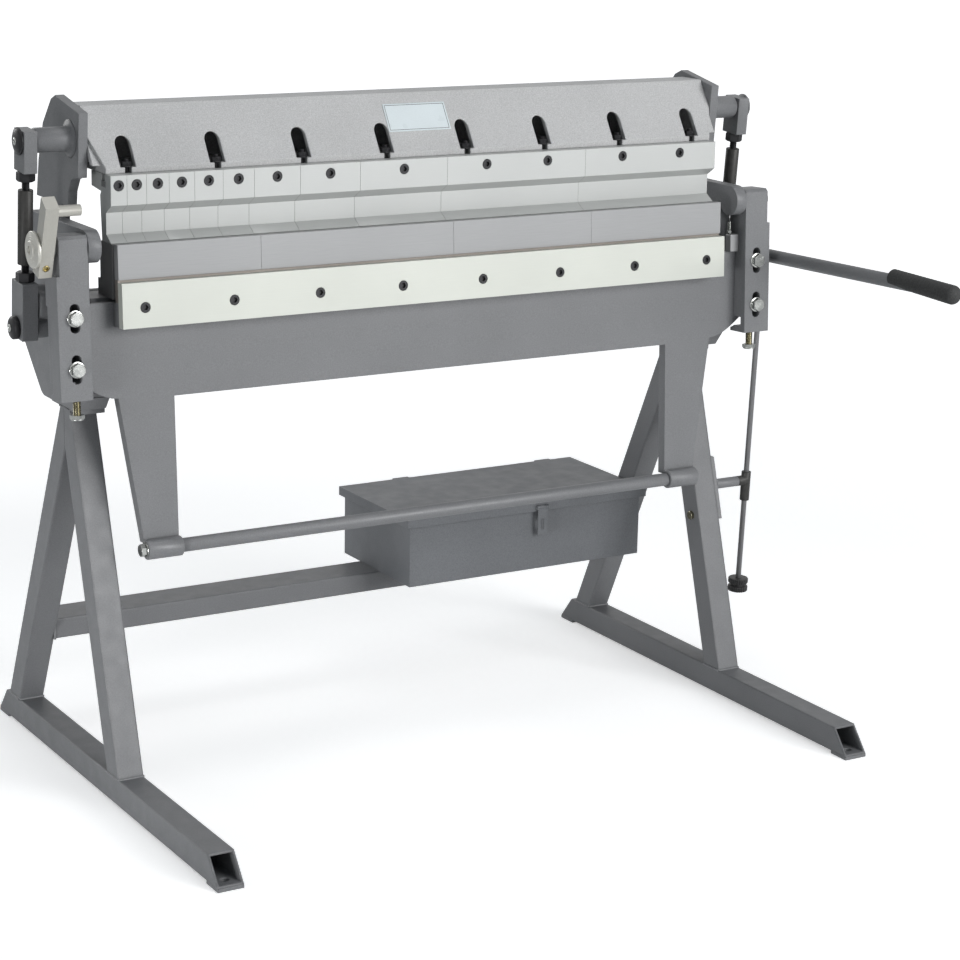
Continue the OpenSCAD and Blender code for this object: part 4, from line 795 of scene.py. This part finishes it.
surfaces = []
for low, high in solids("stop_guide_bolts"):
    middle = (low + high) / 2
    surfaces += bolt_in_box(low, high, 0, GUIDE_BOLT)
    nut = hex_head(GUIDE_BOLT["across"], GUIDE_NUT_T, both_ends=True)
    surfaces.append(placed(nut, [high[0] - GUIDE_NUT_IN, middle[1], middle[2]], (1, 0, 0)))
make_piece("guide_bolts", surfaces, yellow_zinc, "stand", ["stop_guide_bolts"], HEX_SHARP)
print("surfaces of the guide bolts:", len(surfaces))

# %% Studs and nuts of the finger rail
STUD_R, STUD_PITCH = 4.0, 1.25
RAIL_NUT_HEX, RAIL_NUT_T, RAIL_NUT_DROP = 13.0, 6.0, 12.0
RAIL_WASHER_R, RAIL_WASHER_T, WASHER_CHAMFER = 8.4, 1.6, 0.4

washer = [(0, 0), (0, RAIL_WASHER_R - WASHER_CHAMFER), (WASHER_CHAMFER, RAIL_WASHER_R),
          (RAIL_WASHER_T - WASHER_CHAMFER, RAIL_WASHER_R), (RAIL_WASHER_T, RAIL_WASHER_R - WASHER_CHAMFER),
          (RAIL_WASHER_T, 0)]
surfaces = []
for low, high in solids("rail_bolts"):
    middle = (low + high) / 2
    seat = np.array([middle[0], middle[1], high[2] - RAIL_NUT_DROP])
    stud = thread(STUD_R, STUD_PITCH, 0.0, high[2] - low[2])
    nut = hex_head(RAIL_NUT_HEX, RAIL_NUT_T, both_ends=True)
    surfaces.append(placed(stud, [middle[0], middle[1], low[2]], (0, 0, 1)))
    surfaces.append(placed(nut, seat + [0, 0, RAIL_WASHER_T], (0, 0, 1)))
    surfaces.append(placed(turned(washer), seat, (0, 0, 1)))
make_piece("rail_nuts", surfaces, black_oxide, "beam", ["rail_bolts"], HEX_SHARP)
print("rail nuts:", len(surfaces) // 3)

# %% [markdown]
# ## Trunnions, caps and links
# The trunnions grow out of the cast end plates with a hollow fillet. A bevel could round that corner, but
# only inwards, so the fillet is a quarter circle in a turned profile.

# %% Trunnions
TRUNNION_R, JOURNAL_R, FILLET_R = 18.0, 9.0, 10.0
HEAD_PLAY, SHOULDER = 0.3, 2.0
plate_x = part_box("beam_end_plates")[1][0] / MM
head_low, head_high = solids("link_heads")[0]
head_w = head_high[0] - head_low[0]
head_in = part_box("link_heads")[1][0] / MM - head_w
journal_from = head_in - plate_x - HEAD_PLAY
journal_to = head_in - plate_x + head_w + HEAD_PLAY


def on_trunnions(surface, x):
    """The surface at -x and at x on the trunnions' axis, pointing outward."""
    return [placed(surface, [side * x, trunnion[1], trunnion[2]], (side, 0, 0)) for side in (-1, 1)]


profile = [(0, 0), (0, TRUNNION_R + FILLET_R)] + arc(FILLET_R, TRUNNION_R + FILLET_R, FILLET_R, 180, 270, 10)
profile += [(journal_from - SHOULDER, TRUNNION_R), (journal_from, TRUNNION_R - SHOULDER),
            (journal_from, JOURNAL_R), (journal_to, JOURNAL_R), (journal_to, 0)]
make_piece("trunnions_with_fillets", on_trunnions(turned(profile, count=96), plate_x),
           frame_enamel, "beam", ["beam_trunnions"], sharp=50)
print("trunnion from", round(plate_x, 1), "to", round(plate_x + journal_to, 1))

# %% [markdown]
# Black domed caps with a bright screw in the middle close the left link head and crank pin; the right cap
# is painted over with the frame. A dome could be half a ball, but pressed caps are flatter, so the profile
# is a quarter of an ellipse on a short rim.

# %% Caps and their screws
CAP_R, CAP_DISC, CAP_DOME = 20.0, 3.0, 5.0
CAP_EDGE, DOME_R_SHARE, DOME_H_SHARE = 0.8, 0.86, 0.8
PIN_CAP_R, PIN_CAP_H = 16.2, 4.0
CAP_SCREW_SUNK, PIN_SCREW_OUT = 2.4, 3.2
BUTTON_R, BUTTON_T, BUTTON_ROUND, BUTTON_ROUND_AT, BUTTON_CROWN = 5.5, 2.2, 0.9, 1.0, 0.8
SOCKET_R, SOCKET_TAPER, SOCKET_DEPTH = 3.0, 0.8, 1.0


def dome(base, height, radius, count=14):
    """Quarter ellipse from (base, radius) to (base + height, 0), as profile points."""
    turn = np.linspace(0, np.pi / 2, count)
    return list(zip(base + height * np.sin(turn), radius * np.cos(turn)))


profile = [(0, 0), (0, CAP_R - CAP_EDGE), (CAP_EDGE, CAP_R), (CAP_DISC - CAP_EDGE, CAP_R),
           (CAP_DISC, CAP_R - CAP_EDGE), (CAP_DISC, DOME_R_SHARE * CAP_R)]
profile += dome(CAP_DISC, DOME_H_SHARE * CAP_DOME, DOME_R_SHARE * CAP_R)
cap_in = cap_high[0] - CAP_DISC - CAP_DOME
caps = on_trunnions(turned(profile), cap_in)
make_piece("black_domed_cap", caps[:1], black_oxide, "beam", ["trunnion_caps"], sharp=50)
make_piece("painted_domed_cap", caps[1:], frame_enamel, "beam", sharp=50)

button = [(0, 0), (0, BUTTON_R)]
button += arc(BUTTON_ROUND_AT, BUTTON_R - BUTTON_CROWN, BUTTON_ROUND, 150, 40)
socket = BUTTON_T - SOCKET_DEPTH
button += [(BUTTON_T, SOCKET_R), (socket, SOCKET_R - SOCKET_TAPER), (socket, 0)]
screw = turned(button, count=32)
make_piece("cap_screws", on_trunnions(screw, cap_high[0] - CAP_SCREW_SUNK), zinc, "beam", sharp=50)

crank_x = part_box("crank_pins")[0][0] / MM
pin_cap = turned([(0, 0), (0, PIN_CAP_R)] + dome(0, PIN_CAP_H, PIN_CAP_R))
make_piece("crank_pin_cap", [placed(pin_cap, [crank_x, crank_pin[1], crank_pin[2]], (-1, 0, 0))],
           black_oxide, "clamp_shaft", sharp=50)
pin_screw_at = [crank_x - PIN_SCREW_OUT, crank_pin[1], crank_pin[2]]
make_piece("crank_pin_screw", [placed(screw, pin_screw_at, (-1, 0, 0))],
           zinc, "clamp_shaft", sharp=50)
print("caps stand out by", CAP_DISC + CAP_DOME)

# %% Nuts and rods of the links
LINK_NUT_HEX = 24.0
LINK_ROD_R, LINK_PITCH = 6.0, 1.75


def along_link(node, shape):
    """A surface in place of each solid of a links node: shape(height) stands on its foot, along the link."""
    surfaces = []
    for low, high in solids(node, link_axes):
        foot = [*(low + high)[:2] / 2, low[2]]
        surfaces.append(placed(shape(high[2] - low[2]), foot, (0, 0, 1)) @ link_axes)
    return surfaces


nuts = along_link("link_nuts", lambda height: hex_head(LINK_NUT_HEX, height, both_ends=True))
rods = along_link("link_rods", lambda height: thread(LINK_ROD_R, LINK_PITCH, 0.0, height))
make_piece("chamfered_link_nuts", nuts, black_oxide, "links", ["link_nuts"], HEX_SHARP)
make_piece("threaded_link_rods", rods, black_oxide, "links", ["link_rods"])
print("link nuts and rods:", len(nuts), len(rods))

# %% [markdown]
# ## The disc of the stop arm
# The disc is turned from bright steel, and its face falls back a little from the flat hub to the rim. The
# turning marks could be a bump in the material, but they are real rings that show from a step away, so they
# are in the profile: the root of a rectified sine.

# %% Stop arm disc
HUB_R, HUB_RISE = 13.5, 2.6
# How far each point of the hub's rounded edge lies below the hub's top and inside its foot.
HUB_ROUNDING = [(1.0, 0.9), (0.2, 1.5), (0.0, 2.3)]
FACE_FALL = 1.6
RING_DEPTH, RING_STEP, RING_POINTS = 0.45, 3.2, 90
DISC_EDGE, DISC_RIM_IN, DISC_LIP = 0.6, 1.0, 0.8
HUB_HOLE_R, HUB_HOLE_DEPTH = 5.6, 2.5

disc_low, disc_high = [np.array(corner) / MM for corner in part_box("stop_arm_disc")]
disc_r, disc_t = (disc_high[2] - disc_low[2]) / 2, disc_high[0] - disc_low[0]
disc_middle = (disc_low + disc_high) / 2
face_r = disc_r - DISC_RIM_IN
ring_r = np.linspace(face_r, HUB_R, RING_POINTS)
rings = RING_DEPTH * np.abs(np.sin((ring_r - HUB_R) * np.pi / RING_STEP)) ** 0.5
slope = disc_t - HUB_RISE - FACE_FALL * (ring_r - HUB_R) / (face_r - HUB_R)
profile = [(0, 0), (0, disc_r - DISC_EDGE), (DISC_EDGE, disc_r), (slope[0] - DISC_LIP, disc_r)]
profile += list(zip(slope + rings, ring_r))
profile += [(disc_t - below, HUB_R - inside) for below, inside in HUB_ROUNDING]
hole = disc_t - HUB_HOLE_DEPTH
profile += [(disc_t, HUB_HOLE_R + DISC_EDGE), (hole, HUB_HOLE_R), (hole, 0)]
disc_at = [disc_high[0], disc_middle[1], disc_middle[2]]
make_piece("turned_disc", [placed(turned(profile, count=128), disc_at, (-1, 0, 0))],
           bright_steel, "stop_arm", ["stop_arm_disc"], sharp=50)
print("disc radius and thickness:", round(disc_r, 1), round(disc_t, 1))

# %% [markdown]
# ## The knob and the grip
# The knob at the foot of the angle rod is two scalloped discs of black plastic on a neck, and the lever's
# grip is a rubber sleeve with a round end. Both could be cut from cylinders; turning a profile also gives
# their rounded rims and fine ribs at once.

# %% Knob
KNOB_LOBES, SCALLOP = 24, 1.2
KNOB_ROUND = 1.6
KNOB_FLAT_SHARE, NECK_SHARE = 0.90, 0.74
KNOB_DISC_SHARE, NECK_SUNK_SHARE = 0.4, 0.1

rod_axis = np.array(joints["rod_slide"]["axis"], float)
rod_side = np.cross(rod_axis, [1.0, 0, 0])
rod_axes = np.array([[1.0, 0, 0], -rod_side, rod_axis])
low, high = solids("stop_knob", rod_axes)[0]
knob_r, knob_h = (high[0] - low[0]) / 2, high[2] - low[2]


def knob_disc(start, end):
    """One scalloped disc of the knob between two heights, with rounded rims."""
    rim = knob_r - KNOB_ROUND
    profile = [(start, 0), (start, KNOB_FLAT_SHARE * knob_r)]
    profile += arc(start + KNOB_ROUND, rim, KNOB_ROUND, 180, 90)
    profile += arc(end - KNOB_ROUND, rim, KNOB_ROUND, 90, 0)
    return knurled(profile + [(end, 0)], KNOB_LOBES, SCALLOP)


disc_h, neck_r = KNOB_DISC_SHARE * knob_h, NECK_SHARE * knob_r
neck_from = disc_h - NECK_SUNK_SHARE * knob_h
neck_to = knob_h - neck_from
parts = [knob_disc(0.0, disc_h),
         turned([(neck_from, 0), (neck_from, neck_r), (neck_to, neck_r), (neck_to, 0)]),
         knob_disc(knob_h - disc_h, knob_h)]
foot = [*(low + high)[:2] / 2, low[2]]
make_piece("scalloped_knob", [placed(part, foot, (0, 0, 1)) @ rod_axes for part in parts],
           knob_plastic, "stop_rod", ["stop_knob"], sharp=50)
print("knob radius and height:", round(knob_r, 1), round(knob_h, 1))

# %% Grip
GRIP_R, GRIP_TAPER, GRIP_NOSE = 15.0, 1.5, 12.0
RIB_DEPTH, RIB_STEP = 0.12, 2.4
GRIP_END, GRIP_END_ROUND = 1.5, 1.2
LEVER_R, MOUTH_IN, MOUTH_DEPTH = 11.0, 0.5, 4.0

grip_low, grip_high = [np.array(corner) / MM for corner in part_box("lever_grip")]
lever_low, lever_high = [np.array(corner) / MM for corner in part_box("clamp_lever")]
rise = math.atan2((lever_high[2] - lever_low[2] - 2 * LEVER_R), lever_high[1] - lever_low[1])
grip_len = grip_high[1] - grip_low[1]
run = np.linspace(0, 1, 80)
ribs = RIB_DEPTH * np.abs(np.sin(run * grip_len * np.pi / RIB_STEP))
nose = np.linspace(0, np.pi / 2, 16)
profile = list(zip(GRIP_NOSE * (1 - np.cos(nose)), GRIP_R * np.sin(nose)))
profile += list(zip(GRIP_NOSE + run * (grip_len - GRIP_NOSE - GRIP_END), GRIP_R - GRIP_TAPER * run - ribs))
profile += [(grip_len, GRIP_R - GRIP_TAPER - GRIP_END_ROUND), (grip_len, LEVER_R - MOUTH_IN),
            (grip_len - MOUTH_DEPTH, 0)]
start = np.array([(grip_low[0] + grip_high[0]) / 2, grip_low[1], grip_low[2] + GRIP_R])
toward = np.array([0.0, math.cos(rise), math.sin(rise)])
make_piece("rubber_grip", [placed(turned(profile, count=72), start, toward)],
           grip_rubber, "clamp_shaft", ["lever_grip"], sharp=60)
print("lever rises by degrees:", round(math.degrees(rise), 2))

# %% [markdown]
# ## The label plate
# A bare enamelled plate with a thin dark border is stuck on the beam's slope. The border could be painted
# by a shader, but as four thin bars it keeps its edge at any size. The plate lies on the line from the lip
# to the top edge of the beam.

# %% Label plate
LABEL_X = (-57.0, 50.6)
LABEL_RISE = (28.7, 67.9)
LABEL_T, LABEL_SUNK = 0.8, 0.3
LABEL_BLUE = (0.66, 0.72, 0.74)
BORDER_IN, BORDER_W, BORDER_PROUD, BORDER_SUNK = 2.4, 0.7, 0.06, 0.2
FACE_RUN = 0.634
LIP_T = 8.0
beam_low = np.array(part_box("beam_shell")[0]) / MM
slope_axes = tilted(math.atan2(FACE_RUN, 1.0))
slope_foot = np.array([0.0, beam_low[1], beam_low[2] + LIP_T])


def on_slope(low, high):
    """A block whose Z runs up the beam's front slope from the lip, and whose Y goes into the beam."""
    return block(low, high) @ slope_axes + slope_foot


label_enamel = enamel("label enamel", LABEL_BLUE, speck=0.02, roughness=0.30, peel=0.02, edge=0.05)
z0, z1 = np.array(LABEL_RISE) * math.hypot(1.0, FACE_RUN)
plate = on_slope((LABEL_X[0], -LABEL_T, z0), (LABEL_X[1], LABEL_SUNK, z1))
make_piece("bare_label_plate", [plate], label_enamel, "beam")

left, right, bottom, top = LABEL_X[0] + BORDER_IN, LABEL_X[1] - BORDER_IN, z0 + BORDER_IN, z1 - BORDER_IN
front, back = -LABEL_T - BORDER_PROUD, -LABEL_T + BORDER_SUNK
border = [on_slope((left, front, z), (right, back, z + BORDER_W)) for z in (bottom, top - BORDER_W)]
border += [on_slope((x, front, bottom), (x + BORDER_W, back, top)) for x in (left, right - BORDER_W)]
make_piece("label_border", border, black_oxide, "beam")
print("label on the slope from", round(z0, 1), "to", round(z1, 1))

# %% [markdown]
# ## Small parts of the leaf and the stop arm
# At the right a steel lug with an adjusting stud stands on the leaf plate, against the hinge bracket. A
# brass screw with a hollow middle closes the hole in the front face of the stop arm, near its foot. The lug
# is a block, and a Bevel modifier rounds it as a file would.

# %% Lug and stud of the leaf
APRON_T = 17.5
LUG_IN, LUG_OUT, LUG_FRONT, LUG_DEPTH, LUG_RISE = 30.0, 47.4, 10.0, 15.0, 28.0
LUG_SUNK, LUG_ROUNDING = 1.0, 2.0
LEAF_STUD_R, LEAF_STUD_PITCH, LEAF_NUT_HEX, LEAF_NUT_T = 3.5, 1.25, 9.0, 4.0
STUD_IN, STUD_FRONT, STUD_SUNK, STUD_RISE, NUT_RISE = 34.0, 1.5, 2.0, 49.0, 32.0

plate_high = solids("apron_plate", leaf_axes)[0][1]
lug_from = np.array([solids("apron_backing", leaf_axes)[0][1][0], plate_high[1] - APRON_T, plate_high[2]])
lug_block = block(lug_from + [LUG_IN, -LUG_FRONT, -LUG_SUNK],
                  lug_from + [LUG_OUT, LUG_DEPTH - LUG_FRONT, LUG_RISE])
lug = make_piece("leaf_lug", [lug_block @ leaf_axes], edge_steel, "leaf")
rounding = lug.modifiers.new("rounding", "BEVEL")
rounding.width = LUG_ROUNDING * MM
rounding.segments = 3
rounding.harden_normals = True

stud_root = lug_from + [STUD_IN, -STUD_FRONT, LUG_RISE - STUD_SUNK]
stud = thread(LEAF_STUD_R, LEAF_STUD_PITCH, 0.0, STUD_RISE - LUG_RISE + STUD_SUNK)
nut = hex_head(LEAF_NUT_HEX, LEAF_NUT_T, both_ends=True)
nut_at = stud_root + [0, 0, NUT_RISE - LUG_RISE]
surfaces = [placed(stud, stud_root, (0, 0, 1)), placed(nut, nut_at, (0, 0, 1))]
make_piece("leaf_stud", [surface @ leaf_axes for surface in surfaces], zinc, "leaf", sharp=HEX_SHARP)
print("lug stands at", lug_from.round(1))

# %% Screw of the stop arm
ARM_LEAN, ARM_T, ARM_W = math.radians(19.0), 20.0, 22.0
SCREW_Z, SCREW_DEPTH, SCREW_SHANK_R, SCREW_HEAD_R = -19.0, 11.7, 3.9, 5.0
SCREW_HEAD_T, SCREW_HOLLOW_R, SCREW_HOLLOW = 1.2, 2.9, 1.5
SCREW_EDGE, HOLLOW_TAPER = 0.4, 0.2

arm_pivot = np.array(joints["stop_arm_turn"]["pos_m"]) / MM
arm_pivot[0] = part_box("stop_arm")[0][0] / MM
arm_axes = tilted(-ARM_LEAN)
screw_at = np.array([ARM_T / 2, -ARM_W, SCREW_Z]) @ arm_axes + arm_pivot
profile = [(-SCREW_DEPTH, 0), (-SCREW_DEPTH, SCREW_SHANK_R), (0, SCREW_SHANK_R), (0, SCREW_HEAD_R)]
profile += [(SCREW_HEAD_T - SCREW_EDGE, SCREW_HEAD_R), (SCREW_HEAD_T, SCREW_HEAD_R - SCREW_EDGE)]
profile += [(SCREW_HEAD_T, SCREW_HOLLOW_R), (-SCREW_HOLLOW, SCREW_HOLLOW_R - HOLLOW_TAPER)]
profile += [(-SCREW_HOLLOW, 0)]
make_piece("arm_screw", [placed(turned(profile, count=40), screw_at, -arm_axes[1])],
           brass, "stop_arm", sharp=50)
print("arm screw at", screw_at.round(1))

# %% [markdown]
# ## Welds and the ends of the cross beam
# The legs are welded to the feet and to the top plates, and the cross beam to the legs. A weld could be a
# bump in the paint, but it stands proud of the tube, so each one is a bead along its seam, rippled by the
# welder's steps. A small plate closes each end of the cross beam.

# %% Weld beads of the legs
LEG_BEAD_R = 2.2
SAME_HEIGHT, SAME_LEG = 0.5, 1.0


def seam(low, high, z):
    """The rectangle round a leg where it meets a level face."""
    return [(low[0], low[1], z), (high[0], low[1], z), (high[0], high[1], z), (low[0], high[1], z),
            (low[0], low[1], z)]


def leg_section(points, low, high, z):
    """Lowest and highest Y of the points at height z, on the side of the machine of low and high."""
    near = abs(points[:, 2] - z) < SAME_HEIGHT
    near &= (points[:, 0] > low[0] - SAME_LEG) & (points[:, 0] < high[0] + SAME_LEG)
    return points[near, 1].min(), points[near, 1].max()


beads = []
for name in ("front_legs", "rear_legs"):
    points = node_points(nodes[name].data, np.array(nodes[name].matrix_world))
    for low, high in solids(name):
        for z in (low[2], high[2]):
            y0, y1 = leg_section(points, low, high, z)
            beads.append(bead(seam((low[0], y0), (high[0], y1), z), LEG_BEAD_R))
print("weld beads of the legs:", len(beads))

# %% Weld beads and end plates of the cross beam
LEG_DEPTH, TUBE_BEAD_R = 34.0, 2.0
PLATE_T, PLATE_IN, PLATE_EDGE_IN = 2.5, 0.4, 2.8

tube_low, tube_high = solids("cross_beam")[0]
back = tube_low[1] + LEG_DEPTH
for x in (tube_low[0], tube_high[0]):
    beads.append(bead([(x, back, tube_low[2]), (x, tube_low[1], tube_low[2]), (x, tube_low[1], tube_high[2]),
                       (x, back, tube_high[2])], TUBE_BEAD_R))
make_piece("stand_welds", beads, frame_enamel, "stand", sharp=80)
print("weld beads:", len(beads))

end_plates = [block([x, *(tube_low[1:] + PLATE_EDGE_IN)], [x + PLATE_T, *(tube_high[1:] - PLATE_EDGE_IN)])
              for x in (tube_low[0] + PLATE_IN, tube_high[0] - PLATE_IN - PLATE_T)]
make_piece("cross_beam_end_plates", end_plates, tube_enamel, "stand")
